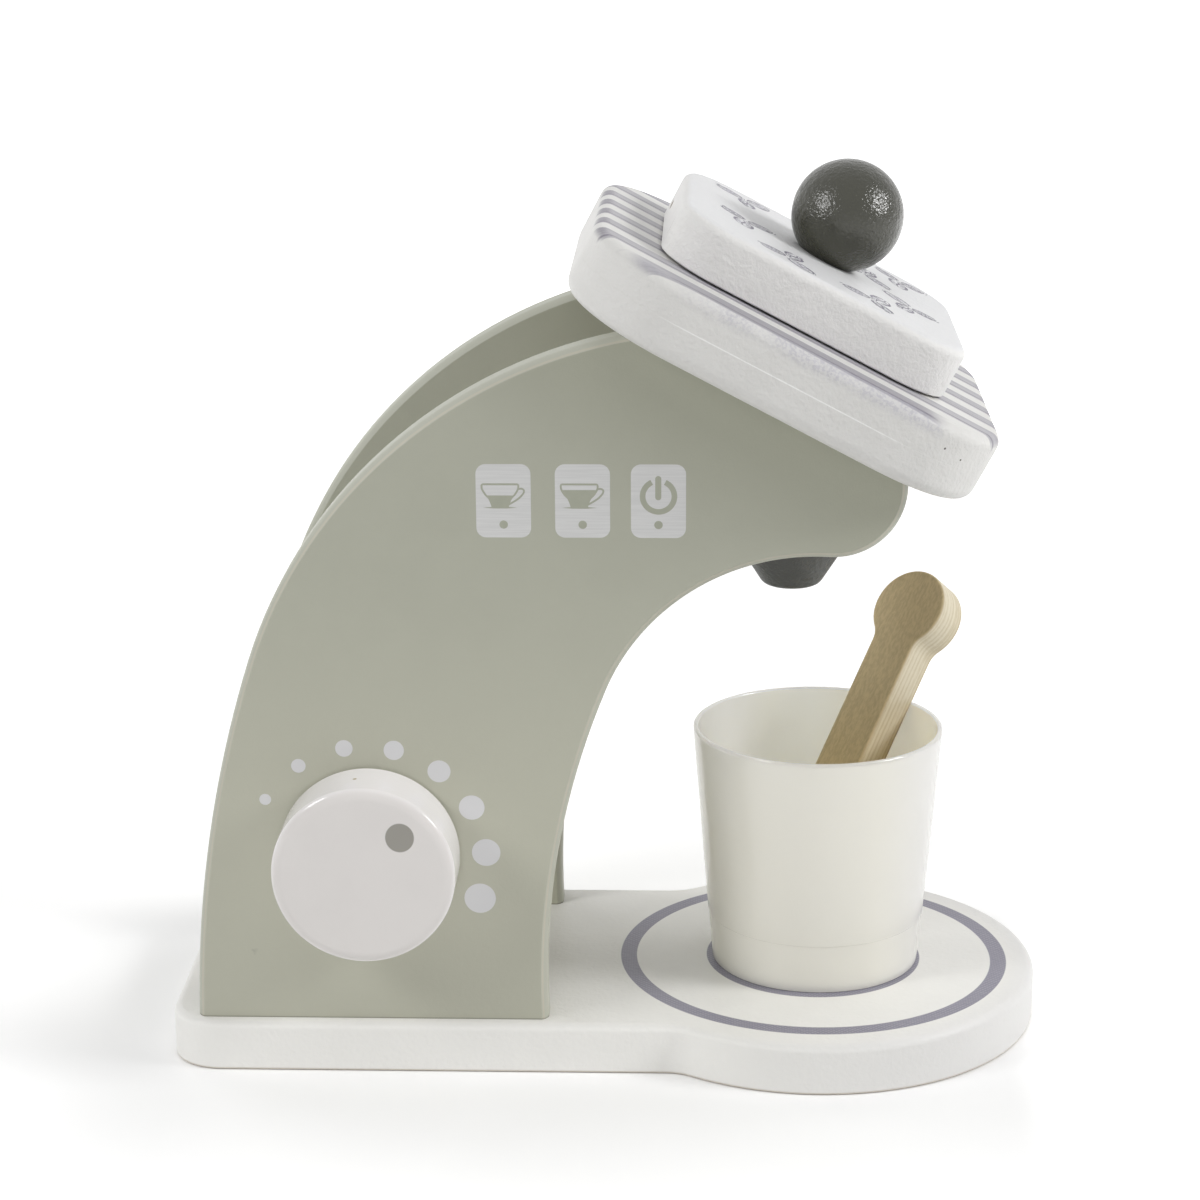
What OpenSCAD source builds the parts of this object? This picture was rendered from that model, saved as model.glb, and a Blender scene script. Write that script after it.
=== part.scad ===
// Toy coffee maker: a paddle-shaped base, two arched side panels, a sloping
// laminated head with a lift-off lid, a turning dial, and a cup with a spoon.
// X runs from the tail to the cup, Y towards the back, Z up. The origin is on
// the underside of the base, below the middle of the round cup stand.

/* [Base] */
// Thickness of the base board
base_t = 12; // [10:0.5:18]
// Diameter of the round cup stand
disc_d = 105; // [98:1:120]
// Width of the straight tail
tail_w = 84; // [81:1:92]
// Distance from the middle of the cup stand to the end of the tail
tail_end = 149; // [147:1:170]
// Corner radius of the tail, seen from above
tail_r = 12; // [4:1:20]
// Radius of the hollow where the tail runs into the cup stand
neck_r = 11; // [6:1:20]
// Radius rounding the top edge of the base
base_top_edge = 2; // [0.8:0.2:3]
// Radius breaking the bottom edge of the base
base_low_edge = 0.6; // [0.4:0.1:1.5]

/* [Side panels] */
// Thickness of each side panel
panel_t = 9; // [8:0.5:11]
// Clear width between the two side panels
panel_gap = 60.8; // [54:0.2:62]
// X of the back corner where a panel stands on the base
panel_back = -142; // [-143:0.5:-138]
// Depth below the top of the base of the centre of the lower back curve
back_dip = 4.9; // [1:0.1:9]
// Radius of the lower part of the back curve
back_low_r = 286; // [260:2:320]
// Radius of the upper part of the back curve
back_high_r = 110.4; // [104:0.2:116]
// Angle from the X axis at which the back curve changes radius
back_turn = 161.7; // [159:0.1:164]
// X of the front corner where a panel stands on the base
panel_front = -61.5; // [-66:0.5:-58]
// Height above the base of the centre of the lower arch curve
arch_rise = 9.1; // [5:0.1:12]
// Radius of the lower part of the arch over the cup
arch_low_r = 183.6; // [170:0.2:200]
// Radius of the upper part of the arch over the cup
arch_high_r = 49.7; // [47:0.1:52]
// Angle from the X axis at which the arch changes radius
arch_turn = 157.8; // [156:0.1:160]
// Radius of the nose at the end of a panel
nose_r = 15.9; // [13:0.1:17]
// Angle from the X axis at which the arch passes into the nose
nose_turn = 86.6; // [84:0.1:90]
// Radius rounding the edges of the panels
panel_edge = 1.4; // [0.6:0.2:2]

/* [Head] */
// Slope of the head, falling towards the cup
head_tilt = 28; // [25:0.5:31]
// Length of the head down the slope
head_l = 100; // [94:1:110]
// Width of the head
head_w = 105; // [96:1:116]
// Thickness of the lower board of the head
head_low_t = 8.2; // [7:0.1:10]
// Thickness of the upper board of the head
head_high_t = 8; // [7:0.1:10]
// Radius breaking the edges of the head's boards where they are glued together
seam_edge = 0.1; // [0.1:0.1:0.6]
// Corner radius of the head, seen square on
head_r = 25; // [18:1:30]
// Radius rounding the top edge of the head
head_top_edge = 2.6; // [1:0.2:4]
// Radius rounding the bottom edge of the head
head_low_edge = 3.2; // [1:0.2:4]
// X of the middle of the head's underside
head_x = -13.1; // [-16:0.1:-10]
// Height of the middle of the head's underside above the base
head_rise = 143.8; // [141:0.2:148]
// Diameter of the pocket in the upper board that takes the lid's plug
pocket_d = 40; // [34:1:46]

/* [Lid] */
// Length and width of the square lid
lid_l = 70; // [62:1:80]
// Thickness of the lid
lid_t = 11.8; // [9:0.2:15]
// Corner radius of the lid
lid_r = 13; // [8:1:20]
// Radius rounding the top edge of the lid
lid_top_edge = 2.2; // [1:0.2:4]
// Radius rounding the bottom edge of the lid
lid_low_edge = 3; // [1:0.2:4]
// Thickness of the plug under the lid
plug_t = 6; // [4:0.5:6.5]
// Diameter of the ball knob
ball_d = 25.2; // [20:0.2:30]
// Diameter of the flat on which the ball knob sits
ball_flat_d = 13; // [10:0.5:17]

/* [Dial] */
// Diameter of the dial
dial_d = 40.8; // [34:0.2:48]
// Thickness of the dial
dial_t = 15; // [11:0.2:18]
// Width of the soft edge round the dial's face
dial_edge = 2.6; // [0.8:0.2:4]
// Drop of that soft edge from the face to the side
dial_drop = 0.9; // [0.4:0.1:2]
// X of the dial's axis
dial_x = -101.4; // [-106:0.1:-98]
// Height of the dial's axis above the base
dial_rise = 40.4; // [36:0.1:44]
// Diameter of the dowel on which the dial turns
axle_d = 8; // [6:0.5:10]
// Diameter of the button that holds the dowel inside the panel
button_d = 18; // [14:1:24]
// Thickness of that button
button_t = 8; // [6:0.5:10]
// Depth of the dowel's blind hole in the dial
dial_bore = 9; // [6:0.5:10]
// Depth of the dowel's blind hole in the button
button_bore = 5.5; // [4:0.5:5.5]

/* [Nozzle] */
// X of the nozzle's axis
nozzle_x = -6.3; // [-8:0.1:-4]
// Length of the nozzle below the cross block
nozzle_h = 18; // [15:0.5:22]
// Diameter of the nozzle's tip
nozzle_tip_d = 12.9; // [10:0.1:16]
// Diameter of the top of the nozzle
nozzle_top_d = 26.4; // [24:0.1:30]
// Height of the nozzle's cone
cone_h = 10.6; // [8:0.2:13]
// Radius rounding the nozzle's tip
tip_edge = 2.6; // [0.6:0.2:3.2]
// Diameter of the spigot on top of the nozzle
spigot_d = 10; // [8:0.5:14]
// Length of the spigot
spigot_l = 10; // [6:0.5:12]
// Length of the cross block along X
block_l = 24; // [18:0.5:25]
// Height of the cross block
block_h = 15; // [12:0.5:17]
// Height of the cross block's underside above the lowest point of the noses
block_rise = 1.6; // [1.2:0.1:3]
// Distance between the dowels in each end of the cross block
block_dowel_gap = 12; // [8:0.5:14]

/* [Cup] */
// X of the cup's axis
cup_x = 0.4; // [-2:0.1:3]
// Y of the cup's axis
cup_y = 1.4; // [-3:0.1:3]
// Height of the cup
cup_h = 57.9; // [50:0.1:62]
// Diameter of the cup at its foot
cup_foot_d = 49.3; // [44:0.1:54]
// Diameter of the cup at its rim
cup_rim_d = 58.5; // [54:0.1:62]
// Wall of the cup near its foot
cup_wall = 2; // [1.3:0.1:2.6]
// Wall of the cup at its rim
cup_lip = 1.2; // [1:0.1:2.4]
// Height of the inside of the cup's floor above its foot
cup_floor = 2; // [1.8:0.1:4]
// Radius rounding the outside of the cup's foot
foot_edge = 0.3; // [0.2:0.1:2]
// Depth of the hollow under the cup's foot
foot_hollow = 0.5; // [0.3:0.1:0.8]
// Height above the foot of the moulding step round the cup
step_h = 12; // [6:0.5:16]
// Depth of the moulding step
step_d = 0.15; // [0.1:0.05:0.4]

/* [Spoon] */
// Whole length of the spoon
spoon_l = 100.1; // [88:0.1:108]
// Diameter of the spoon's round end
spoon_head_d = 19.5; // [16:0.1:24]
// Width of the spoon's handle
spoon_w = 12; // [9:0.2:13]
// Thickness of the spoon
spoon_t = 9.2; // [5:0.2:10]
// Radius of the hollows where the handle meets the round end
spoon_neck_r = 5; // [1:0.5:8]
// Radius breaking the edges of the spoon
spoon_edge = 0.5; // [0.2:0.1:1]
// Direction in which the spoon leans, seen from above
spoon_turn = 47; // [20:0.1:60]

/* [Fasteners and fits] */
// Diameter of the wood screws' shank
screw_d = 3.5; // [3:0.1:4]
// Diameter of the wood screws' countersunk head
screw_head_d = 7; // [6:0.2:8]
// Length of the screws that hold the panels to the base
base_screw_l = 32; // [26:1:38]
// Length of the screws that hold the head to the panels
head_screw_l = 22; // [18:1:24]
// Length of the screw that holds plug, lid and ball together
lid_screw_l = 27; // [24:0.5:29]
// Distance of the rear base screws from the back corners of the panels
screw_back = 24; // [18:1:32]
// Distance of the front base screws from the front corners of the panels
screw_front = 20; // [16:1:28]
// Distance of the upper head screws from the middle of the head
screw_up = 20; // [14:1:24]
// Distance of the lower head screws from the middle of the head
screw_down = 15; // [12:1:18]
// Diameter of the wooden dowels
dowel_d = 5; // [4:0.5:6]
// Length of the dowels between base and panels
base_dowel_l = 22; // [16:1:28]
// Distance of the rear base dowels from the back corners of the panels
dowel_back = 12; // [8:0.5:14]
// Distance of the front base dowels from the front corners of the panels
dowel_front = 9; // [8:0.5:12]
// Height of the middle of the base dowels above the joint
dowel_rise = 2; // [0:0.5:4]
// Thickness of panel left outside the dowels of the cross block
dowel_cover = 3; // [2:0.5:4]
// Length of the dowels between cross block and panels
block_dowel_l = 18; // [12:1:24]
// Radial room for glue round dowels, spigot and screws
glue = 0.05; // [0.02:0.01:0.1]
// Radial running clearance of the dial's dowel in the panel
running = 0.08; // [0.04:0.01:0.1]
// Room between pieces that move on each other
play = 0.3; // [0.2:0.05:0.4]
// Radial room of the lid's plug in its pocket
plug_play = 0.5; // [0.3:0.1:1]

/* [Hidden] */
$fn = 96;

// Colours of the finishes
white_paint = [0.87, 0.87, 0.85];
sage_paint = [0.64, 0.65, 0.58];
charcoal_paint = [0.29, 0.30, 0.30];
olive_lacquer = [0.22, 0.22, 0.19];
bare_wood = [0.80, 0.69, 0.50];
zinc = [0.70, 0.70, 0.72];
cream_plastic = [0.91, 0.90, 0.86];

// Levels and offsets worked out from the sizes above
head_z = base_t + head_rise;
dial_z = base_t + dial_rise;
slip = 0.01;
end_room = 0.5;
panel_mid = panel_gap / 2 + panel_t / 2;
panel_face = panel_gap / 2 + panel_t;
head_t = head_low_t + head_high_t;
lid_seat = head_t + play;
lid_top = lid_seat + lid_t;
ball_rise = sqrt(pow(ball_d / 2, 2) - pow(ball_flat_d / 2, 2));
sink = 0.3;
screw_cone = (screw_head_d - screw_d) / 2;

// Places of the fasteners: along the base, down the slope of the head, and in
// the cross block
base_screw_xs = [panel_back + screw_back, panel_front - screw_front];
base_dowel_xs = [panel_back + dowel_back, panel_front - dowel_front];
head_screw_us = [-screw_up, screw_down];
block_dowel_xs = [nozzle_x - block_dowel_gap / 2, nozzle_x + block_dowel_gap / 2];

// Points on an arc from one angle to another, both ends included
function arc(c, r, from, to, n) = [
    for (i = [0:n]) c + r * [cos(from + (to - from) * i / n), sin(from + (to - from) * i / n)]
];

// The same without the first point, and without either end
function arc_on(c, r, from, to, n) = [
    for (i = [1:n]) c + r * [cos(from + (to - from) * i / n), sin(from + (to - from) * i / n)]
];
function arc_between(c, r, from, to, n) = arc(
    c, r, from + (to - from) / n / 2, to - (to - from) / n / 2, n - 1
);

// Moves every side of a closed counter-clockwise outline inwards by d
function inset(pts, d) = let (n = len(pts)) [
    for (i = [0:n - 1])
        let (
            before = pts[i] - pts[(i + n - 1) % n],
            after = pts[(i + 1) % n] - pts[i],
            a = [-before[1], before[0]] / norm(before),
            b = [-after[1], after[0]] / norm(after)
        )
        pts[i] + d * (a + b) / (1 + a * b)
];

// A board with rounded edges. Its outline runs along side a and comes back
// along side b, which has as many points; k_low and k_top steps round the edges
module board(a, b, t, r_low, k_low, r_top, k_top) {
    m = len(a);
    n = 2 * m;
    loop = concat(a, [for (i = [0:m - 1]) b[m - 1 - i]]);
    low = [for (k = [0:k_low]) [r_low * (1 - sin(90 * k / k_low)), r_low * (1 - cos(90 * k / k_low))]];
    top = [for (k = [0:k_top]) [r_top * (1 - cos(90 * k / k_top)), t - r_top * (1 - sin(90 * k / k_top))]];
    rings = concat(low, top);
    last = n * (len(rings) - 1);
    points = [for (ring = rings) for (p = inset(loop, ring[0])) [p[0], p[1], ring[1]]];
    sides = [
        for (k = [0:len(rings) - 2]) for (i = [0:n - 1])
            let (j = (i + 1) % n, p = n * k, q = n * k + n)
            each [[p + i, q + i, q + j], [p + i, q + j, p + j]]
    ];
    caps = [
        for (i = [0:m - 2])
            let (j = i + 1, bi = n - 1 - i, bj = n - 2 - i)
            each [
                [i, j, bj], [i, bj, bi],
                [last + i, last + bj, last + j], [last + i, last + bi, last + bj]
            ]
    ];
    polyhedron(points = points, faces = concat(sides, caps), convexity = 8);
}

function mirrored(pts) = [for (p = pts) [p[0], -p[1]]];

// One long side of a rectangle with round corners, from its left to its right
function half_round_rect(l, w, r, n) = concat(
    arc([-l / 2 + r, -w / 2 + r], r, 180, 270, n),
    arc_on([l / 2 - r, -w / 2 + r], r, -90, 0, n)
);

// Centres of the four curves of a panel, each met by the next without a kink
back_low_c = [
    panel_back + sqrt(pow(back_low_r, 2) - pow(back_dip, 2)),
    base_t - back_dip
];
back_high_c = back_low_c + (back_low_r - back_high_r) * [cos(back_turn), sin(back_turn)];
arch_low_c = [
    panel_front + sqrt(pow(arch_low_r, 2) - pow(arch_rise, 2)),
    base_t + arch_rise
];
arch_high_c = arch_low_c + (arch_low_r - arch_high_r) * [cos(arch_turn), sin(arch_turn)];
nose_c = arch_high_c + (arch_high_r + nose_r) * [cos(nose_turn), sin(nose_turn)];
block_z = nose_c[1] - nose_r + block_rise;
block_dowel_z = block_z + block_h / 2;
nozzle_z = block_z - nozzle_h;

// Angle between the slope's normal and the place where a circle crosses the
// underside of the head
function half_chord(c, r) = acos(
    ((head_x - c[0]) * sin(head_tilt) + (head_z - c[1]) * cos(head_tilt)) / r
);
back_cross = 90 - head_tilt + half_chord(back_high_c, back_high_r);
nose_cross = 90 - head_tilt - half_chord(nose_c, nose_r);
back_foot = 180 - asin(back_dip / back_low_r);
arch_foot = 180 + asin(arch_rise / arch_low_r);

// The arch side of a panel, from the base round the nose to the head
arch_side = concat(
    arc(arch_low_c, arch_low_r, arch_foot, arch_turn, 9),
    arc_between(arch_high_c, arch_high_r, arch_turn, nose_turn, 14),
    arc(nose_c, nose_r, nose_turn - 180, nose_cross, 11)
);
// The back side of a panel, from the base to the head and down along it
back_corner = back_high_c + back_high_r * [cos(back_cross), sin(back_cross)];
nose_corner = nose_c + nose_r * [cos(nose_cross), sin(nose_cross)];
back_side = concat(
    arc(back_low_c, back_low_r, back_foot, back_turn, 9),
    arc_on(back_high_c, back_high_r, back_turn, back_cross, 17),
    [for (i = [1:9]) back_corner + (nose_corner - back_corner) * i / 10]
);

// Moves its children onto the slope of the head
module on_head() {
    translate([head_x, 0, head_z])
        rotate([0, head_tilt, 0])
            children();
}

// A wood screw with its head down at the origin and its point up
module screw(l) {
    cylinder(h = screw_cone, d1 = screw_head_d, d2 = screw_d);
    cylinder(h = l - screw_d, d = screw_d);
    translate([0, 0, l - screw_d])
        cylinder(h = screw_d, d1 = screw_d, d2 = 0.8);
}

// The hole for that screw, with room for the head to sink in
module screw_hole(l) {
    translate([0, 0, -sink - slip])
        cylinder(h = sink + slip, d = screw_head_d + 2 * glue);
    cylinder(h = screw_cone, d1 = screw_head_d + 2 * glue, d2 = screw_d + 2 * glue);
    cylinder(h = l + end_room, d = screw_d + 2 * glue);
}

// Everything that sits in the panels' undersides and the base, on one side
module base_fixings(side, holes) {
    for (x = base_screw_xs)
        translate([x, side * panel_mid, sink])
            if (holes) screw_hole(base_screw_l);
            else screw(base_screw_l);
}

module base_pins(side, room) {
    for (x = base_dowel_xs)
        translate([x, side * panel_mid, base_t + dowel_rise - base_dowel_l / 2])
            translate([0, 0, -room * end_room])
                cylinder(h = base_dowel_l + 2 * room * end_room, d = dowel_d + 2 * room * glue);
}

module head_fixings(side, holes) {
    on_head()
        for (u = head_screw_us)
            translate([u, side * panel_mid, head_low_t - sink])
                rotate([180, 0, 0])
                    if (holes) screw_hole(head_screw_l);
                    else screw(head_screw_l);
}

module block_pins(side, room) {
    for (x = block_dowel_xs)
        translate([x, side * (panel_face - dowel_cover - block_dowel_l / 2), block_dowel_z])
            rotate([90, 0, 0])
                cylinder(h = block_dowel_l + 2 * room * end_room, d = dowel_d + 2 * room * glue, center = true);
}

module panel(side) {
    difference() {
        translate([0, side < 0 ? -panel_gap / 2 : panel_face, 0])
            rotate([90, 0, 0])
                board(arch_side, back_side, panel_t, panel_edge, 4, panel_edge, 4);
        base_fixings(side, true);
        base_pins(side, 1);
        head_fixings(side, true);
        block_pins(side, 1);
    }
}

module front_panel() {
    color(sage_paint)
        difference() {
            panel(-1);
            translate([dial_x, 0, dial_z])
                rotate([90, 0, 0])
                    cylinder(h = panel_face + 1, d = axle_d + 2 * running);
        }
}

module rear_panel() {
    color(sage_paint)
        panel(1);
}

// One long side of the base: round tail corner, hollow neck, round cup stand
neck_c = [
    -sqrt(pow(disc_d / 2 + neck_r, 2) - pow(tail_w / 2 + neck_r, 2)),
    -tail_w / 2 - neck_r
];
neck_turn = atan2(-neck_c[1], -neck_c[0]);
base_side = concat(
    arc([-tail_end + tail_r, -tail_w / 2 + tail_r], tail_r, 180, 270, 8),
    arc(neck_c, neck_r, 90, neck_turn, 6),
    arc_between([0, 0], disc_d / 2, 180 + neck_turn, 360, 35)
);

module base_board() {
    color(white_paint)
        difference() {
            board(base_side, mirrored(base_side), base_t, base_low_edge, 2, base_top_edge, 4);
            for (side = [-1, 1]) {
                base_fixings(side, true);
                base_pins(side, 1);
            }
        }
}

module head_lower_board() {
    half = half_round_rect(head_l, head_w, head_r, 11);
    color(white_paint)
        difference() {
            on_head()
                board(half, mirrored(half), head_low_t, head_low_edge, 4, seam_edge, 1);
            for (side = [-1, 1])
                head_fixings(side, true);
        }
}

module head_upper_board() {
    half = half_round_rect(head_l, head_w, head_r, 11);
    color(white_paint)
        on_head()
            translate([0, 0, head_low_t])
                difference() {
                    board(half, mirrored(half), head_high_t, seam_edge, 1, head_top_edge, 4);
                    translate([0, 0, -1])
                        cylinder(h = head_high_t + 2, d = pocket_d);
                }
}

module base_screws() {
    color(zinc)
        for (side = [-1, 1])
            base_fixings(side, false);
}

module base_dowels() {
    color(bare_wood)
        for (side = [-1, 1])
            base_pins(side, 0);
}

module head_screws() {
    color(zinc)
        for (side = [-1, 1])
            head_fixings(side, false);
}

module block_dowels() {
    color(bare_wood)
        for (side = [-1, 1])
            block_pins(side, 0);
}

module nozzle_block() {
    color(bare_wood)
        difference() {
            translate([nozzle_x - block_l / 2, -panel_gap / 2, block_z])
                cube([block_l, panel_gap, block_h]);
            translate([nozzle_x, 0, block_z - 1])
                cylinder(h = spigot_l + end_room + 1, d = spigot_d + 2 * glue);
            for (side = [-1, 1])
                block_pins(side, 1);
        }
}

// Half section of the nozzle: rounded tip, cone, collar and spigot
tip_angle = atan2(nozzle_top_d / 2 - nozzle_tip_d / 2, cone_h);
tip_reach = tip_edge * tan((90 - tip_angle) / 2);

module nozzle() {
    collar = block_z - nozzle_z;
    color(charcoal_paint)
        translate([nozzle_x, 0, nozzle_z])
            rotate_extrude()
                polygon(concat(
                    [[0, 0]],
                    arc([nozzle_tip_d / 2 - tip_reach, tip_edge], tip_edge, -90, -tip_angle, 6),
                    [
                        [nozzle_top_d / 2, cone_h],
                        [nozzle_top_d / 2, collar],
                        [spigot_d / 2, collar],
                        [spigot_d / 2, collar + spigot_l],
                        [0, collar + spigot_l]
                    ]
                ));
}

// Moves its children onto the dial's axis, with up pointing out of the front
module on_dial() {
    translate([dial_x, 0, dial_z])
        rotate([90, 0, 0])
            children();
}

module dial_knob() {
    back = panel_face + play;
    color(white_paint)
        on_dial()
            translate([0, 0, back])
                difference() {
                    rotate_extrude()
                        polygon(concat(
                            [[0, 0]],
                            arc([dial_d / 2 - 0.6, 0.6], 0.6, -90, 0, 3),
                            [
                                for (p = arc([0, 0], 1, 0, 90, 9))
                                    [dial_d / 2 - dial_edge * (1 - p[0]), dial_t - dial_drop * (1 - p[1])]
                            ],
                            [[0, dial_t]]
                        ));
                    translate([0, 0, -1])
                        cylinder(h = dial_bore + 1, d = axle_d + 2 * glue);
                }
}

module dial_axle() {
    low = panel_gap / 2 - play - button_bore + end_room;
    high = panel_face + play + dial_bore - end_room;
    color(bare_wood)
        on_dial()
            translate([0, 0, low])
                cylinder(h = high - low, d = axle_d);
}

module dial_button() {
    color(bare_wood)
        on_dial()
            translate([0, 0, panel_gap / 2 - play - button_t])
                difference() {
                    rotate_extrude()
                        polygon([
                            [0, 0], [button_d / 2 - 1, 0], [button_d / 2, 1],
                            [button_d / 2, button_t], [0, button_t]
                        ]);
                    translate([0, 0, button_t - button_bore])
                        cylinder(h = button_bore + 1, d = axle_d + 2 * glue);
                }
}

plug_low = lid_seat - plug_t;

module lid_board() {
    half = half_round_rect(lid_l, lid_l, lid_r, 9);
    color(white_paint)
        on_head()
            difference() {
                translate([0, 0, lid_seat])
                    board(half, mirrored(half), lid_t, lid_low_edge, 4, lid_top_edge, 4);
                translate([0, 0, plug_low + sink])
                    screw_hole(lid_screw_l);
            }
}

module lid_plug() {
    color(bare_wood)
        on_head()
            difference() {
                translate([0, 0, plug_low])
                    rotate_extrude()
                        polygon([
                            [0, 0], [pocket_d / 2 - plug_play - 0.8, 0], [pocket_d / 2 - plug_play, 0.8],
                            [pocket_d / 2 - plug_play, plug_t], [0, plug_t]
                        ]);
                translate([0, 0, plug_low + sink])
                    screw_hole(lid_screw_l);
            }
}

module lid_ball() {
    color(olive_lacquer)
        on_head()
            difference() {
                translate([0, 0, lid_top + ball_rise])
                    sphere(d = ball_d);
                translate([0, 0, lid_top - ball_d])
                    cylinder(h = ball_d, d = 2 * ball_d);
                translate([0, 0, plug_low + sink])
                    screw_hole(lid_screw_l);
            }
}

module lid_screw() {
    color(zinc)
        on_head()
            translate([0, 0, plug_low + sink])
                screw(lid_screw_l);
}

// Inside radius of the cup at a height above its foot
cup_lean = (cup_rim_d - cup_foot_d) / 2 / cup_h;
cup_thinning = (cup_wall - cup_lip) / cup_h;
function cup_inside(z) = cup_foot_d / 2 - cup_wall + (cup_lean + cup_thinning) * z;

module cup() {
    foot = cup_foot_d / 2;
    rim = cup_rim_d / 2;
    color(cream_plastic)
        translate([cup_x, cup_y, base_t])
            rotate_extrude()
                polygon(concat(
                    [
                        [0, foot_hollow],
                        [foot - foot_edge - 2 - foot_hollow, foot_hollow],
                        [foot - foot_edge - 2, 0]
                    ],
                    arc([foot - foot_edge - step_d, foot_edge], foot_edge, -90, 0, 6),
                    [
                        [foot + cup_lean * step_h - step_d, step_h - step_d],
                        [foot + cup_lean * step_h, step_h]
                    ],
                    arc([rim - cup_lip / 2, cup_h - cup_lip / 2], cup_lip / 2, 0, 180, 8),
                    arc([cup_inside(cup_floor + 1.5) - 1.5, cup_floor + 1.5], 1.5, 0, -90, 5),
                    [[0, cup_floor]]
                ));
}

// The spoon stands on the cup's floor with the two corners of one face near
// the wall and leans over until its other face is near the rim. Half of the
// room across the cup, as wide as the spoon, at a height above the foot
function across(z) = sqrt(pow(cup_inside(z) - play, 2) - pow(spoon_w / 2, 2));
spoon_foot_z = cup_floor + play;
rim_z = cup_h - cup_lip / 2;
function lean(e, n) = n == 0 ? e : lean(
    atan2(
        rim_z - spoon_foot_z,
        across(rim_z) + across(spoon_foot_z + spoon_t * cos(e)) - spoon_t * sin(e)
    ),
    n - 1
);
spoon_lean = lean(52, 12);
spoon_reach = across(spoon_foot_z + spoon_t * cos(spoon_lean));

// One long side of the spoon, from its end up round the neck to the top
spoon_r = spoon_head_d / 2;
spoon_top_y = spoon_l - spoon_r;
spoon_neck = [spoon_w / 2 + spoon_neck_r, 0];
spoon_neck_y = sqrt(pow(spoon_r + spoon_neck_r, 2) - pow(spoon_neck[0], 2));
spoon_neck_turn = atan2(spoon_neck_y, -spoon_neck[0]);
spoon_side = concat(
    [[spoon_w / 2 - 1, 0], [spoon_w / 2, 1]],
    arc([spoon_neck[0], spoon_top_y - spoon_neck_y], spoon_neck_r, 180, spoon_neck_turn, 5),
    arc_between([0, spoon_top_y], spoon_r, spoon_neck_turn - 180, 90, 21)
);

module spoon() {
    color(bare_wood)
        translate([cup_x, cup_y, base_t + spoon_foot_z])
            rotate([0, 0, spoon_turn])
                translate([-spoon_reach, 0, spoon_t * cos(spoon_lean)])
                    rotate([0, -spoon_lean, 0])
                        rotate([0, 0, -90])
                            translate([0, 0, -spoon_t])
                                board(
                                    spoon_side,
                                    [for (p = spoon_side) [-p[0], p[1]]],
                                    spoon_t, spoon_edge, 3, spoon_edge, 3
                                );
}

base_board();
front_panel();
rear_panel();
nozzle_block();
nozzle();
head_lower_board();
head_upper_board();
base_screws();
base_dowels();
head_screws();
block_dowels();
dial_knob();
dial_axle();
dial_button();
lid_board();
lid_plug();
lid_ball();
lid_screw();
cup();
spoon();
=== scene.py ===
import math

import bpy
from mathutils import Matrix, Vector


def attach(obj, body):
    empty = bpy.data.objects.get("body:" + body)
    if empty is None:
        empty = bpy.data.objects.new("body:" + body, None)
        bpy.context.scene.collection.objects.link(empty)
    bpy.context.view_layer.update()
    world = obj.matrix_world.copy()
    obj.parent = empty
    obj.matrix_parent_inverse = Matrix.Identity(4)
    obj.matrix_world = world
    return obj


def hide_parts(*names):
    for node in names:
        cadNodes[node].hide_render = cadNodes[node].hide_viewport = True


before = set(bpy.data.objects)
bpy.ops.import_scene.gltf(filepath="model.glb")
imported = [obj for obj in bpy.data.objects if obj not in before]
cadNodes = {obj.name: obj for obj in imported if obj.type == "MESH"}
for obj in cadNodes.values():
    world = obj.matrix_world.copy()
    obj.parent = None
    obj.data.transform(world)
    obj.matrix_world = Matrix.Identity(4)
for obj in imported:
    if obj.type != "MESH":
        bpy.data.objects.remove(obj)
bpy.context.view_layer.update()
mm = 0.001


def onCircle(centre, radius, turn):
    t = math.radians(turn)
    return (centre[0] + radius * math.cos(t), centre[1] + radius * math.sin(t))


def arcPoints(centre, radius, start, end, count):
    return [onCircle(centre, radius, start + (end - start) * i / count) for i in range(count + 1)]


def disc(x, y, radius, count=40):
    return arcPoints((x, y), radius, 0, 360 - 360 / count, count - 1)


# moves a loop inwards, where the edges that start at the held points stay in line
def insetLoop(loop, distance, held=()):
    moved = []
    count = len(loop)
    for i, p in enumerate(loop):
        q, r = loop[i - 1], loop[(i + 1) % count]
        a, b = Vector((q[1] - p[1], p[0] - q[0])), Vector((p[1] - r[1], r[0] - p[0]))
        a.normalize()
        b.normalize()
        before, after = (0 if k % count in held else distance for k in (i - 1, i))
        if before == after:
            step = (a + b) * (before / (1 + a.dot(b)))
        else:
            c = a.dot(b)
            step = (a * (before - after * c) + b * (after - before * c)) / (1 - c * c)
        moved.append((p[0] + step.x, p[1] + step.y))
    return moved


def linkMesh(name, verts, faces, smooth=True, sharp=38):
    mesh = bpy.data.meshes.new(name)
    mesh.from_pydata([tuple(c * mm for c in v) for v in verts], [], faces)
    mesh.validate()
    obj = bpy.data.objects.new(name, mesh)
    bpy.context.scene.collection.objects.link(obj)
    if smooth:
        mesh.shade_smooth()
        mesh.set_sharp_from_angle(angle=math.radians(sharp))
    return obj


def applyModifiers(obj):
    graph = bpy.context.evaluated_depsgraph_get()
    mesh = bpy.data.meshes.new_from_object(obj.evaluated_get(graph), depsgraph=graph)
    obj.modifiers.clear()
    obj.data = mesh
    return obj


def smoothByArea(obj):
    weighted = obj.modifiers.new("weighted", "WEIGHTED_NORMAL")
    weighted.mode = "FACE_AREA"
    weighted.keep_sharp = True
    return applyModifiers(obj)


# the faces between two rings of points
def bridge(low, high, count):
    return [[low + i, low + (i + 1) % count, high + (i + 1) % count, high + i] for i in range(count)]


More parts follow.
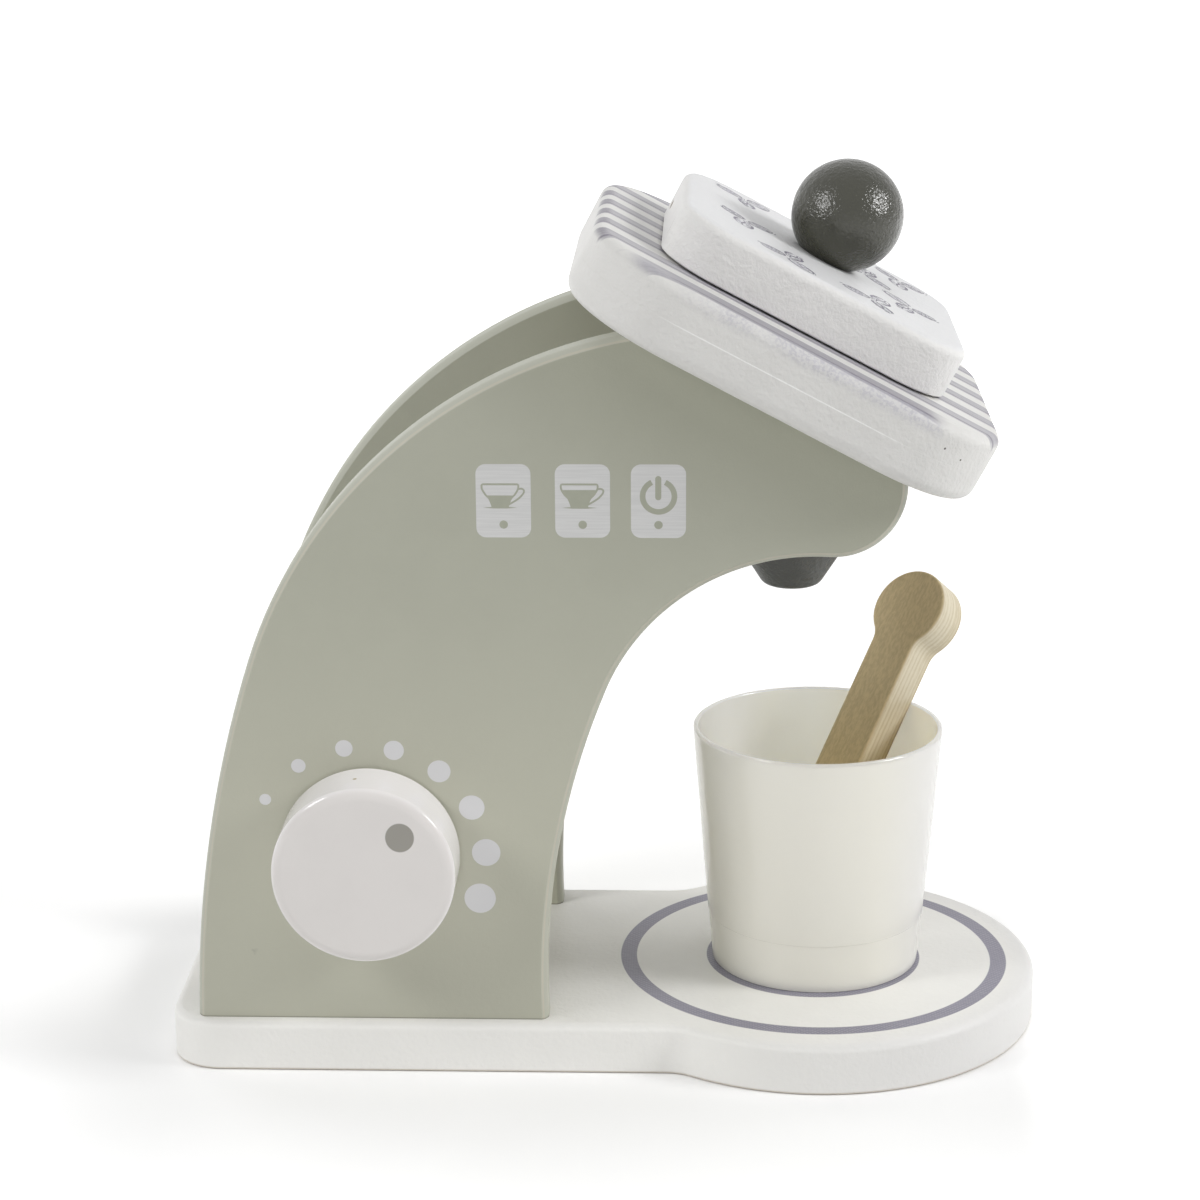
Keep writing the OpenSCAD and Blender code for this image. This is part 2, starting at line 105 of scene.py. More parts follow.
# a board with rounded edges: its outline, lifted along z, then placed by a matrix. A crease above 0
# starts the rounding with a crease at the face, and a flatten below 1 makes the low rounding less high
def makeBoard(name, loop, thick, lowEdge, topEdge, steps, place, held=(), crease=0, sharp=38, flatten=1.0):
    turns = [math.radians(crease + (90 - crease) * k / steps) for k in range(steps + 1)]
    lean = math.radians(crease)
    widest, deepest = 1 - math.sin(lean), math.cos(lean)

    def profile(edge):
        size = edge / widest
        return [(size * (1 - math.sin(a)), size * (deepest - math.cos(a))) for a in turns]

    rings = [(inward, height * flatten) for inward, height in profile(lowEdge)]
    rings += [(inward, thick - height) for inward, height in reversed(profile(topEdge))]
    count = len(loop)
    verts = []
    for inward, height in rings:
        verts += [place @ Vector((x, y, height)) for x, y in insetLoop(loop, inward, held)]
    faces = [list(range(count))[::-1], [count * (len(rings) - 1) + i for i in range(count)]]
    for k in range(len(rings) - 1):
        faces += bridge(count * k, count * (k + 1), count)
    return linkMesh(name, verts, faces, sharp=sharp)


def cutBy(obj, cutter, sharp=38):
    boolean = obj.modifiers.new("cut", "BOOLEAN")
    boolean.operation = "DIFFERENCE"
    boolean.object = cutter
    boolean.solver = "EXACT"
    applyModifiers(obj)
    bpy.data.objects.remove(cutter)
    obj.data.shade_smooth()
    obj.data.set_sharp_from_angle(angle=math.radians(sharp))
    return obj


def makeCylinder(name, radius, low, high, count, place):
    verts = [place @ Vector((x, y, z)) for z in (low, high) for x, y in disc(0, 0, radius, count)]
    faces = [list(range(count))[::-1], [count + i for i in range(count)]]
    return linkMesh(name, verts, faces + bridge(0, count, count))


# a turned piece: its profile (radius, height) runs from the axis at the low end to the axis at the high end
def makeTurned(name, profile, count, place):
    verts = [place @ Vector((0, 0, profile[0][1]))]
    for radius, height in profile[1:-1]:
        verts += [place @ Vector((x, y, height)) for x, y in disc(0, 0, radius, count)]
    verts.append(place @ Vector((0, 0, profile[-1][1])))
    last = len(verts) - 1
    faces = []
    for i in range(count):
        j = (i + 1) % count
        faces += [[0, 1 + j, 1 + i], [last, last - count + i, last - count + j]]
        for start in range(1, last - count, count):
            faces.append([start + i, start + j, start + count + j, start + count + i])
    return linkMesh(name, verts, faces)


# materials: a small helper to wire nodes by name
class Shader:
    def __init__(self, name):
        self.material = bpy.data.materials.new(name)
        self.material.use_nodes = True
        self.nodes = self.material.node_tree.nodes
        self.links = self.material.node_tree.links
        self.surface = self.nodes["Principled BSDF"]
        self.place = self.nodes.new("ShaderNodeTexCoord").outputs["Object"]

    def put(self, socket, value):
        if isinstance(value, bpy.types.NodeSocket):
            self.links.new(value, socket)
        elif isinstance(value, tuple) and socket.type == "RGBA":
            socket.default_value = (*value[:3], 1)
        else:
            socket.default_value = value

    def assign(self, name, value):
        self.put(self.surface.inputs[name], value)

    def node(self, kind, inputs, output=0, **settings):
        node = self.nodes.new("ShaderNode" + kind)
        for name, value in settings.items():
            setattr(node, name, value)
        for key, value in inputs.items():
            self.put(node.inputs[key], value)
        return node.outputs[output]

    def math(self, operation, *values, clamp=False):
        return self.node("Math", dict(enumerate(values)), operation=operation, use_clamp=clamp)

    def plus(self, first, second):
        return self.math("ADD", first, second)

    def minus(self, first, second):
        return self.math("SUBTRACT", first, second)

    def larger(self, first, second):
        return self.math("MAXIMUM", first, second)

    # 0 at low and 1 at high, with a soft start and end
    def smooth(self, value, low, high):
        inputs = dict(enumerate((value, low, high, 0.0, 1.0)))
        return self.node("MapRange", inputs, interpolation_type="SMOOTHSTEP")

    def mix(self, factor, first, second):
        return self.node("Mix", {0: factor, 6: first, 7: second}, 2, data_type="RGBA")

    def split(self, vector=None):
        node = self.nodes.new("ShaderNodeSeparateXYZ")
        self.links.new(vector or self.place, node.inputs[0])
        return node.outputs

    def times(self, first, *others):
        for other in others:
            first = self.math("MULTIPLY", first, other)
        return first

    def length(self, *values):
        total = self.math("MULTIPLY", values[0], values[0])
        for value in values[1:]:
            total = self.math("MULTIPLY_ADD", value, value, total)
        return self.math("SQRT", total)

    def between(self, value, rising, falling):
        return self.times(self.smooth(value, *rising), self.smooth(value, *falling))

    def band(self, value, low, high, soft):
        return self.between(value, (low - soft, low + soft), (high + soft, high - soft))

    # the distance of a place from a spot that is given in millimetres
    def gap(self, place, spot):
        return self.length(*(self.minus(v, c * mm) for v, c in zip(place, spot)))

    def mapped(self, scale=(1, 1, 1), turn=(0, 0, 0), shift=(0, 0, 0)):
        inputs = {"Vector": self.place, "Scale": scale, "Rotation": turn, "Location": shift}
        return self.node("Mapping", inputs)

    def local(self, place):
        inverse = place.inverted()
        return self.mapped(turn=inverse.to_euler("XYZ"), shift=inverse.translation * mm)

    def stretched(self, vector, scale):
        return self.node("VectorMath", {0: vector, 1: scale}, operation="MULTIPLY")

    def noise(self, scale, detail=2.0, roughness=0.5, vector=None):
        inputs = {"Vector": vector or self.place, "Scale": scale, "Detail": detail, "Roughness": roughness}
        return self.node("TexNoise", inputs, "Fac")

    # each bump is laid over the ones before it
    def bump(self, height, distance):
        normal = self.surface.inputs["Normal"]
        inputs = {"Distance": distance, "Height": height}
        if normal.links:
            inputs["Normal"] = normal.links[0].from_socket
        self.links.new(self.node("Bump", inputs), normal)

    def finish(self, colour, roughness, gloss=0.5, metallic=0.0):
        self.assign("Base Color", colour)
        self.assign("Roughness", roughness)
        self.assign("Specular IOR Level", gloss)
        self.assign("Metallic", metallic)
        return self.material


def srgb(r, g, b):
    def linear(c):
        c /= 255
        return c / 12.92 if c <= 0.04045 else ((c + 0.055) / 1.055) ** 2.4

    return (linear(r), linear(g), linear(b))


def dress(obj, material):
    obj.data.materials.clear()
    obj.data.materials.append(material)


coatSettings = {
    "cloud": 60.0, "cloudRange": (0.35, 0.68), "cloudDepth": 0.975, "grain": 900.0, "grainDepth": 0.00006,
}


# paint over board: faint cloudiness in the colour and a shallow grain under the coat
def paintCoat(shader, colour, grainDepth=coatSettings["grainDepth"]):
    s = coatSettings
    deeper = tuple(c * s["cloudDepth"] for c in colour)
    shade = shader.mix(shader.smooth(shader.noise(s["cloud"], 3.0), *s["cloudRange"]), colour, deeper)
    shader.bump(shader.noise(s["grain"], 3.0, 0.6), grainDepth)
    return shade


print("stage: helpers ready")
upright = Matrix.Identity(4)
turnedUp = Matrix.Rotation(math.radians(90), 4, "X")
baseSettings = {
    "thick": 12.0, "disc": 52.5, "tailHalf": 42.0, "tailEnd": 149.0, "tailCorner": 12.0, "neck": 11.0,
    "topEdge": 2.0, "lowEdge": 0.6, "screwRows": (-118.0, -81.5), "screwSide": 34.9, "screwRoom": 3.55,
    "screwDeep": 0.31,
}


def baseOutline(s):
    reach = s["disc"] + s["neck"]
    neckY = s["tailHalf"] + s["neck"]
    neckX = -math.sqrt(reach**2 - neckY**2)
    turn = math.degrees(math.atan2(neckY, -neckX))
    corner = s["tailCorner"]
    side = arcPoints((corner - s["tailEnd"], corner - s["tailHalf"]), corner, 180, 270, 12)
    side += arcPoints((neckX, -neckY), s["neck"], 90, turn, 8)
    side += arcPoints((0, 0), s["disc"], 182 + turn, 359, 60)
    return side + [(x, -y) for x, y in reversed(side)]


s = baseSettings
base = makeBoard("baseShown", baseOutline(s), s["thick"], s["lowEdge"], s["topEdge"], 6, upright)
for x in s["screwRows"]:
    for y in (-s["screwSide"], s["screwSide"]):
        place = Matrix.Translation((x, y, 0))
        cutBy(base, makeCylinder("screwRoom", s["screwRoom"], -1, s["screwDeep"], 48, place))
smoothByArea(base)

panelSettings = {
    "inner": 30.4, "thick": 9.0, "edge": 1.5, "crease": 24, "sharp": 16, "backLow": 286.0, "backHigh": 110.4,
    "backTurn": 161.7, "backDip": 4.9, "back": -142.0, "front": -61.5, "archRise": 9.1, "archLow": 183.6,
    "archHigh": 49.7, "archTurn": 157.8, "nose": 15.9, "noseTurn": 86.6, "floor": 12.0,
}
headSettings = {
    "x": -13.1, "z": 155.8, "tilt": 28.0, "long": 100.0, "wide": 105.0, "corner": 25.0, "lowThick": 8.2,
    "highThick": 8.0, "lowEdge": 3.2, "topEdge": 2.6, "seam": 0.05, "pocket": 20.0, "pocketFrom": -1,
    "pocketTo": 12,
}
tilt = math.radians(headSettings["tilt"])
onHead = Matrix.Translation((headSettings["x"], 0, headSettings["z"])) @ Matrix.Rotation(tilt, 4, "Y")


def halfChord(centre, radius):
    drop = (headSettings["x"] - centre[0]) * math.sin(tilt) + (headSettings["z"] - centre[1]) * math.cos(tilt)
    return math.degrees(math.acos(drop / radius))


def panelOutline(s):
    backLowC = (s["back"] + math.sqrt(s["backLow"] ** 2 - s["backDip"] ** 2), s["floor"] - s["backDip"])
    backHighC = onCircle(backLowC, s["backLow"] - s["backHigh"], s["backTurn"])
    archLowC = (s["front"] + math.sqrt(s["archLow"] ** 2 - s["archRise"] ** 2), s["floor"] + s["archRise"])
    archHighC = onCircle(archLowC, s["archLow"] - s["archHigh"], s["archTurn"])
    noseC = onCircle(archHighC, s["archHigh"] + s["nose"], s["noseTurn"])
    backCross = 90 - headSettings["tilt"] + halfChord(backHighC, s["backHigh"])
    noseCross = 90 - headSettings["tilt"] - halfChord(noseC, s["nose"])
    backFoot = 180 - math.degrees(math.asin(s["backDip"] / s["backLow"]))
    archFoot = 180 + math.degrees(math.asin(s["archRise"] / s["archLow"]))
    loop = arcPoints(archLowC, s["archLow"], archFoot, s["archTurn"], 20)
    loop += arcPoints(archHighC, s["archHigh"], s["archTurn"] - 2, s["noseTurn"] + 2, 33)
    loop += arcPoints(noseC, s["nose"], s["noseTurn"] - 180, noseCross, 22)
    underHead = len(loop) - 1
    loop += arcPoints(backHighC, s["backHigh"], backCross, s["backTurn"] - 2, 30)
    loop += arcPoints(backLowC, s["backLow"], s["backTurn"], backFoot, 20)
    return loop, (underHead, len(loop) - 1)


panels = []
panelLoop, restEdges = panelOutline(panelSettings)
s = panelSettings
for name, y in (("frontPanelShown", -s["inner"]), ("rearPanelShown", s["inner"] + s["thick"])):
    stand = Matrix.Translation((0, y, 0)) @ turnedUp
    panels.append(makeBoard(
        name, panelLoop, s["thick"], s["edge"], s["edge"], 5, stand,
        held=restEdges, crease=s["crease"], sharp=s["sharp"],
    ))
dialSettings = {
    "x": -101.4, "z": 52.4, "bore": 4.08, "boreFrom": 20, "boreTo": 50, "radius": 20.4, "back": 39.7,
    "thick": 15.0, "edge": 2.6, "drop": 1.5, "backEdge": 0.6, "depth": 9.0,
}
s = dialSettings
onDial = Matrix.Translation((s["x"], 0, s["z"])) @ turnedUp
dialBore = makeCylinder("dialBore", s["bore"], s["boreFrom"], s["boreTo"], 48, onDial)
cutBy(panels[0], dialBore, panelSettings["sharp"])
for panel in panels:
    smoothByArea(panel)


def dialProfile(s):
    front = s["back"] + s["thick"]
    edge = s["backEdge"]
    profile = [(0, s["back"]), *arcPoints((s["radius"] - edge, s["back"] + edge), edge, -90, 0, 4)]
    for x, y in arcPoints((0, 0), 1, 0, 90, 12):
        profile.append((s["radius"] - s["edge"] * (1 - x), front - s["drop"] * (1 - y)))
    return profile + [(0, front)]


dial = makeTurned("dialShown", dialProfile(s), 160, onDial)
cutBy(dial, makeCylinder("axleRoom", s["bore"], s["boreFrom"], s["back"] + s["depth"], 48, onDial))
smoothByArea(dial)


def roundRect(long, wide, corner, count):
    x, y = long / 2 - corner, wide / 2 - corner
    spots = (((-x, -y), 180), ((x, -y), 270), ((x, y), 0), ((-x, y), 90))
    return [p for centre, start in spots for p in arcPoints(centre, corner, start, start + 90, count)]


s = headSettings
headLoop = roundRect(s["long"], s["wide"], s["corner"], 22)
lowBoard = makeBoard("headLowShown", headLoop, s["lowThick"], s["lowEdge"], s["seam"], 6, onHead)
onUpper = onHead @ Matrix.Translation((0, 0, s["lowThick"]))
highBoard = makeBoard("headHighShown", headLoop, s["highThick"], s["seam"], s["topEdge"], 6, onUpper)
cutBy(highBoard, makeCylinder("pocketRoom", s["pocket"], s["pocketFrom"], s["pocketTo"], 96, onUpper))
smoothByArea(lowBoard)
smoothByArea(highBoard)

lidSettings = {
    "seat": 16.5, "side": 70.0, "thick": 11.8, "corner": 13.0, "lowEdge": 1.8, "topEdge": 2.2, "flatten": 0.3,
}
s = lidSettings
onLid = onHead @ Matrix.Translation((0, 0, s["seat"]))
lidLoop = roundRect(s["side"], s["side"], s["corner"], 16)
lid = makeBoard("lidShown", lidLoop, s["thick"], s["lowEdge"], s["topEdge"], 7, onLid, flatten=s["flatten"])
smoothByArea(lid)


# flat prints, each a very thin prism standing on a face. A line swells towards its middle if asked to
def ribbon(points, width, swelling=0.0):
    left, right = [], []
    for i, p in enumerate(points):
        q, r = points[max(0, i - 1)], points[min(len(points) - 1, i + 1)]
        swell = 1 - swelling + swelling * math.sin(math.pi * (i + 0.5) / len(points))
        d = Vector((r[0] - q[0], r[1] - q[1])).normalized() * (width * swell / 2)
        left.append((p[0] - d.y, p[1] + d.x))
        right.append((p[0] + d.y, p[1] - d.x))
    return right + left[::-1]


def area(loop):
    return sum(p[0] * q[1] - q[0] * p[1] for p, q in zip(loop, loop[1:] + loop[:1]))


def prismMesh(name, shapes, place):
    verts, faces = [], []
    for loop, low, high in shapes:
        loop = loop if area(loop) > 0 else loop[::-1]
        start, count = len(verts), len(loop)
        verts += [place @ Vector((x, y, z)) for z in (low, high) for x, y in loop]
        faces.append([start + i for i in range(count)][::-1])
        faces.append([start + count + i for i in range(count)])
        faces += bridge(start, start + count, count)
    return linkMesh(name, verts, faces, False)


def curve(points, count=10):
    out = []
    for i in range(len(points) - 1):
        a, b = points[max(0, i - 1)], points[i]
        c, d = points[i + 1], points[min(len(points) - 1, i + 2)]
        for k in range(count):
            t = k / count
            out.append(tuple(
                0.5 * (2 * b[n] + (c[n] - a[n]) * t + (2 * a[n] - 5 * b[n] + 4 * c[n] - d[n]) * t * t
                       + (3 * b[n] - a[n] - 3 * c[n] + d[n]) * t**3)
                for n in (0, 1)
            ))
    return out + [tuple(points[-1])]


iconSettings = {
    "middles": (-70.08, -52.87, -36.39), "z": 134.22, "wide": 11.96, "high": 16.45, "corner": 2.2,
    "levels": (1.2, 2.45), "dotDrop": -5.3, "dot": 0.92, "line": 0.4, "plate": (0.005, 0.03),
    "ink": (0.031, 0.05), "step": 0.002, "ringLift": 1.1, "ring": 3.45, "ringTurns": (115, 425),
    "ringLine": 1.22, "barAside": -0.05, "bar": (0.9, 5.0), "barLine": 1.3,
}
onFace = Matrix.Translation((0, -panelSettings["inner"] - panelSettings["thick"], 0)) @ turnedUp


def cupShapes(x, z, level):
    def put(points):
        return [(x + a, z + b) for a, b in points]

    line = iconSettings["line"]
    rightSide = [(3.3, 3.4), (3.2, 2.6), (2.5, 1.4), (1.7, 0.55), (1.2, -0.6), (0.95, -1.4)]
    side = curve(rightSide, 6)
    middle = -0.7
    leftSide = [(2 * middle - a, b) for a, b in side]
    corner = [(3.0, 3.72), (3.2, 3.66), (3.31, 3.4), (3.3, 3.2)]
    shapes = [ribbon(put([(-4.4, 3.72), (3.05, 3.72)]), line), ribbon(put(corner), line)]
    shapes.append(ribbon(put([(2 * middle - a, b) for a, b in corner]), line))
    shapes += [ribbon(put(side), line), ribbon(put(leftSide), line)]
    low = [(a, b) for a, b in side if b <= level]
    edge = max(a for a, b in low)
    fill = [(2 * middle - edge, level), *[(2 * middle - a, b) for a, b in low], *reversed(low), (edge, level)]
    shapes.append(put(fill))
    handle = [(3.25, 2.68), (4.0, 2.74), (4.5, 2.35), (4.3, 1.6), (3.2, 0.45), (1.2, -0.8)]
    shapes.append(ribbon(put(curve(handle, 6)), line))
    shapes.append(put([(-4.4, -1.5), (-2.2, -1.68), (0.9, -1.68), (3.1, -1.5), (0.9, -1.32), (-2.2, -1.32)]))
    return shapes


paleShapes, sageShapes = [], []
s = iconSettings
z = s["z"]
for i, x in enumerate(s["middles"]):
    plate = [(x + a, z + b) for a, b in roundRect(s["wide"], s["high"], s["corner"], 8)]
    paleShapes.append((plate, *s["plate"]))
    sageShapes.append((disc(x, z + s["dotDrop"], s["dot"]), *s["ink"]))
    if i < len(s["levels"]):
        for k, loop in enumerate(cupShapes(x, z, s["levels"][i])):
            sageShapes.append((loop, s["ink"][0], s["ink"][1] + s["step"] * k))
    else:
        ring = arcPoints((x, z + s["ringLift"]), s["ring"], *s["ringTurns"], 60)
        sageShapes.append((ribbon(ring, s["ringLine"]), *s["ink"]))
        bar = [(x + s["barAside"], z + end) for end in s["bar"]]
        sageShapes.append((ribbon(bar, s["barLine"]), *s["ink"]))
        for end in bar:
            sageShapes.append((disc(*end, s["barLine"] / 2, 24), s["ink"][0], s["ink"][1] + s["step"]))
scaleSettings = {
    "x": -101.9, "z": 50.8, "radius": 26.8, "turns": (148, 124, 100, 76, 52, 28, 4, -20),
    "dots": (1.32, 1.63, 1.96, 2.27, 2.59, 2.89, 3.22, 3.55),
}
s = scaleSettings
for turn, size in zip(s["turns"], s["dots"]):
    spot = onCircle((s["x"], s["z"]), s["radius"], turn)
    paleShapes.append((disc(*spot, size, 56), *iconSettings["plate"]))
palePrint = prismMesh("palePrint", paleShapes, onFace)
sagePrint = prismMesh("sagePrint", sageShapes, onFace)

# lid print: clusters of loosely sketched beans, instanced over the top
beanSettings = {
    "long": 3.5, "wide": 2.1, "stroke": 0.42, "washHigh": 0.008, "inkLow": 0.008, "inkStep": 0.0004,
    "beans": ((-4.3, -1.0, 24, 1.0), (3.3, -2.5, -38, 0.92), (1.0, 4.1, 78, 0.85)), "swelling": 0.75,
    "arcs": ((12, 170, 1.0), (150, 372, 1.03), (196, 300, 1.2), (28, 112, 1.14), (318, 350, 1.3)),
}
clusterSettings = {
    "rows": (-25.0, -8.5, 8.5, 25.0), "first": -30.0, "pitch": 20.5, "stagger": 10.0, "sway": 1.5,
    "reach": 28.0, "clear": 13.5,
}


def beanStrokes(a, b, seed):
    strokes = []
    for k, (start, end, grow) in enumerate(beanSettings["arcs"]):
        turns = [math.radians(t) for t in range(start, end, 9)]
        loop = [(a * grow * math.cos(t), b * grow * math.sin(t)) for t in turns]
        strokes.append((loop, 1.15 if k < 2 else 0.75))
    seam = [(-a * 1.08, 0.1), (-a * 0.45, 0.5), (0, 0.0), (a * 0.45, -0.5), (a * 1.08, -0.05)]
    strokes.append((curve(seam, 6), 1.3))
    for k in range(5):
        x = -2.0 + k * 0.95 + 0.25 * math.sin(seed + 2 * k)
        strokes.append(([(x, -0.55), (x + 0.22, -1.1), (x + 0.16, -b * 0.92)], 0.7))
    for k in range(4):
        x = -1.4 + k * 0.95 + 0.2 * math.cos(seed + k)
        strokes.append(([(x, 0.75), (x + 0.3, b * 0.9)], 0.6))
    return strokes


def beanCluster(s):
    washes, inks = [], []
    for n, (x, y, turn, size) in enumerate(s["beans"]):
        c, d = size * math.cos(math.radians(turn)), size * math.sin(math.radians(turn))

        def put(points):
            return [(x + a * c - b * d, y + a * d + b * c) for a, b in points]

        washes.append((put(arcPoints((0, 0), s["wide"] * 0.95, 0, 350, 28)), 0.0, s["washHigh"]))
        for points, weight in beanStrokes(s["long"], s["wide"], n + 1.0):
            high = s["inkLow"] * 1.6 + s["inkStep"] * len(inks)
            inks.append((ribbon(put(points), s["stroke"] * weight, s["swelling"]), s["inkLow"], high))
    return washes, inks


s = clusterSettings
spots = []
for row, y in enumerate(s["rows"]):
    for column in range(4):
        x = s["first"] + column * s["pitch"] + (s["stagger"] if row % 2 else 0.0)
        if abs(x) < s["reach"] and math.hypot(x, y) > s["clear"]:
            spots.append((x, y + s["sway"] * math.cos(3 * column + row), (row * 67 + column * 113) % 360))


def scatterTree(name):
    tree = bpy.data.node_groups.new(name, "GeometryNodeTree")
    kinds = {"Geometry": "Geometry", "Motif": "Object", "Size": "Float", "Material": "Material"}
    for label, kind in kinds.items():
        tree.interface.new_socket(label, in_out="INPUT", socket_type="NodeSocket" + kind)
    tree.interface.new_socket("Geometry", in_out="OUTPUT", socket_type="NodeSocketGeometry")
    start, end = tree.nodes.new("NodeGroupInput"), tree.nodes.new("NodeGroupOutput")
    info = tree.nodes.new("GeometryNodeObjectInfo")
    turned = tree.nodes.new("GeometryNodeInputNamedAttribute")
    turned.data_type = "FLOAT_VECTOR"
    turned.inputs["Name"].default_value = "turn"
    put = tree.nodes.new("GeometryNodeInstanceOnPoints")
    real = tree.nodes.new("GeometryNodeRealizeInstances")
    dressed = tree.nodes.new("GeometryNodeSetMaterial")
    for source, goal in (
        (start.outputs["Geometry"], put.inputs["Points"]), (start.outputs["Motif"], info.inputs["Object"]),
        (info.outputs["Geometry"], put.inputs["Instance"]), (start.outputs["Size"], put.inputs["Scale"]),
        (turned.outputs["Attribute"], put.inputs["Rotation"]), (put.outputs["Instances"], real.inputs[0]),
        (real.outputs[0], dressed.inputs["Geometry"]), (dressed.outputs[0], end.inputs[0]),
        (start.outputs["Material"], dressed.inputs["Material"]),
    ):
        tree.links.new(source, goal)
    return tree


scatter = scatterTree("beanScatter")
beanWash, beanInk = bpy.data.materials.new("beanWash"), bpy.data.materials.new("beanInk")
lidTop = onLid @ Matrix.Translation((0, 0, lidSettings["thick"]))


def scattered(name, shapes, material):
    motif = prismMesh(name + "Motif", shapes, upright)
    points = bpy.data.meshes.new(name)
    points.from_pydata([(x * mm, y * mm, 0.005 * mm) for x, y, t in spots], [], [])
    turn = points.attributes.new("turn", "FLOAT_VECTOR", "POINT")
    turn.data.foreach_set("vector", [v for x, y, t in spots for v in (0, 0, math.radians(t))])
    obj = bpy.data.objects.new(name, points)
    bpy.context.scene.collection.objects.link(obj)
    nodes = obj.modifiers.new("scatter", "NODES")
    nodes.node_group = scatter
    sockets = {i.name: i.identifier for i in scatter.interface.items_tree if i.in_out == "INPUT"}
    nodes[sockets["Motif"]] = motif
    nodes[sockets["Size"]] = 1.0
    nodes[sockets["Material"]] = material
    applyModifiers(obj)
    bpy.data.objects.remove(motif)
    metres = lidTop.copy()
    metres.translation = metres.translation * mm
    obj.data.transform(metres)
    return obj


washShapes, inkShapes = beanCluster(beanSettings)
washPrint = scattered("washPrint", washShapes, beanWash)
inkPrint = scattered("inkPrint", inkShapes, beanInk)

for obj, node, body, finish in (
    (base, "base_board", "machine", "white_paint"),
    (panels[0], "front_panel", "machine", "sage_paint"),
    (panels[1], "rear_panel", "machine", "sage_paint"),
    (lowBoard, "head_lower_board", "machine", "white_paint"),
    (highBoard, "head_upper_board", "machine", "white_paint"),
    (lid, "lid_board", "lid", "white_paint"),
    (dial, "dial_knob", "dial", "white_paint"),
):
    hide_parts(node)
    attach(obj, body)
for obj, body, finish in (
    (palePrint, "machine", "white_paint"), (sagePrint, "machine", "sage_paint"),
    (washPrint, "lid", "white_paint"), (inkPrint, "lid", "charcoal_paint"),
):
    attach(obj, body)
print("stage: boards and prints made")

# paints
# paints: base, head and lid wear one white, but the head's white is set darker than the others, a painted
# shade; the lit and shade tones below are painted light and painted shade
paintSettings = {
    "roughness": 0.42, "sheen": 0.3, "base": srgb(238, 237, 233), "baseSideLit": srgb(250, 249, 245),
    "baseRimShade": srgb(234, 233, 231), "head": srgb(227, 226, 223), "lid": srgb(237, 236, 234),
    "lidTop": srgb(233, 233, 234), "sage": srgb(183, 184, 169), "sageLowLit": srgb(193, 193, 177),
    "sageHighShade": srgb(171, 172, 156), "sageEdgeLit": srgb(190, 191, 178), "arrisHighlight": srgb(206, 199, 182),
    "dial": srgb(233, 229, 226), "dialSideLit": srgb(249, 246, 247),
}
peelSettings = {"broad": (210.0, 0.00036), "fine": (900.0, 0.0002)}
coatRoughness, sheen = paintSettings["roughness"], paintSettings["sheen"]


def orangePeel(shader, share=1.0):
    for scale, depth in peelSettings.values():
        shader.bump(shader.noise(scale, 3.0, 0.6), depth * share)


# base: white all round, two printed rings on top, its low edge rubbed down to the wood. Its sides are painted
# lighter than its top, a painted light, and the right of its disc rim a little darker, a painted shade
ringSettings = {
    "outer": (42.27 * mm, 46.07 * mm), "inner": (22.4 * mm, 25.48 * mm), "top": 11.2 * mm, "rise": 0.4 * mm,
    "soft": 0.12 * mm, "ink": srgb(140, 138, 150), "screen": 5200.0, "side": (11.6 * mm, 10.6 * mm),
    "disc": (45 * mm, 51 * mm), "discFrom": (-30 * mm, 40 * mm), "peel": 0.4,
    "rubbed": srgb(178, 160, 132), "rubbedBelow": (0.9 * mm, 0.1 * mm), "rubbedShare": 0.6,
}
s = ringSettings
shader = Shader("basePaint")
x, y, z = shader.split()
coat = paintCoat(shader, paintSettings["base"])
radius = shader.length(x, y)
# painted light: the sides below the top edge are lighter than the top
coat = shader.mix(shader.smooth(z, *s["side"]), coat, paintSettings["baseSideLit"])
# painted shade: the rim of the disc, towards the right, is a little darker
rimShadeMask = shader.times(shader.smooth(radius, *s["disc"]), shader.smooth(x, *s["discFrom"]))
coat = shader.mix(rimShadeMask, coat, paintSettings["baseRimShade"])
bands = [shader.band(radius, *s[ring], s["soft"]) for ring in ("outer", "inner")]
ring = shader.math("ADD", *bands, clamp=True)
ring = shader.times(ring, shader.smooth(z, s["top"], s["top"] + s["rise"]))
weave = shader.times(*(shader.math("SINE", shader.times(v, s["screen"])) for v in (x, y)))
ink = shader.mix(shader.smooth(weave, 0.1, 0.7), s["ink"], tuple(min(1, c * 1.25) for c in s["ink"]))
painted = shader.mix(ring, coat, ink)
rubbed = shader.times(shader.smooth(z, *s["rubbedBelow"]), s["rubbedShare"])
painted = shader.mix(rubbed, painted, s["rubbed"])
orangePeel(shader, s["peel"])
dress(base, shader.finish(painted, coatRoughness, sheen))

# the panels' edges are painted paler than their faces, a painted light, with a painted highlight along the
# outer edge of the face; the coat is painted lighter towards the bottom, a painted light, and darker towards
# the head, a painted shade.
# A smudge sits at the foot of the front panel, and a thin dark line where the panels stand on the base is a
# painted shadow
sageSettings = {
    "low": (128 * mm, 60 * mm), "high": (108 * mm, 142 * mm), "slope": 0.53, "edgeFrom": 0.02 * mm,
    "edgeTo": 0.1 * mm, "arrisHighlight": (0.4 * mm, 0.12 * mm, 0.08 * mm), "arrisHighlightShare": 0.55, "rougher": 0.06,
    "smudge": (-128.3, 28.6), "smudgeSize": (2.2 * mm, 1.2 * mm), "smudgeRagged": 2.6 * mm,
    "smudgeFront": (-20 * mm, -30 * mm), "smudgeShare": 0.35, "contactShade": (0.4, 0.1), "contactShadeShare": 0.5,
    "contactShadeTone": srgb(96, 94, 82),
}
s = sageSettings
shader = Shader("sagePaint")
x, y, z = shader.split()
coat = paintCoat(shader, paintSettings["sage"])
# painted light: the coat is lighter towards the bottom
coat = shader.mix(shader.smooth(z, *s["low"]), coat, paintSettings["sageLowLit"])
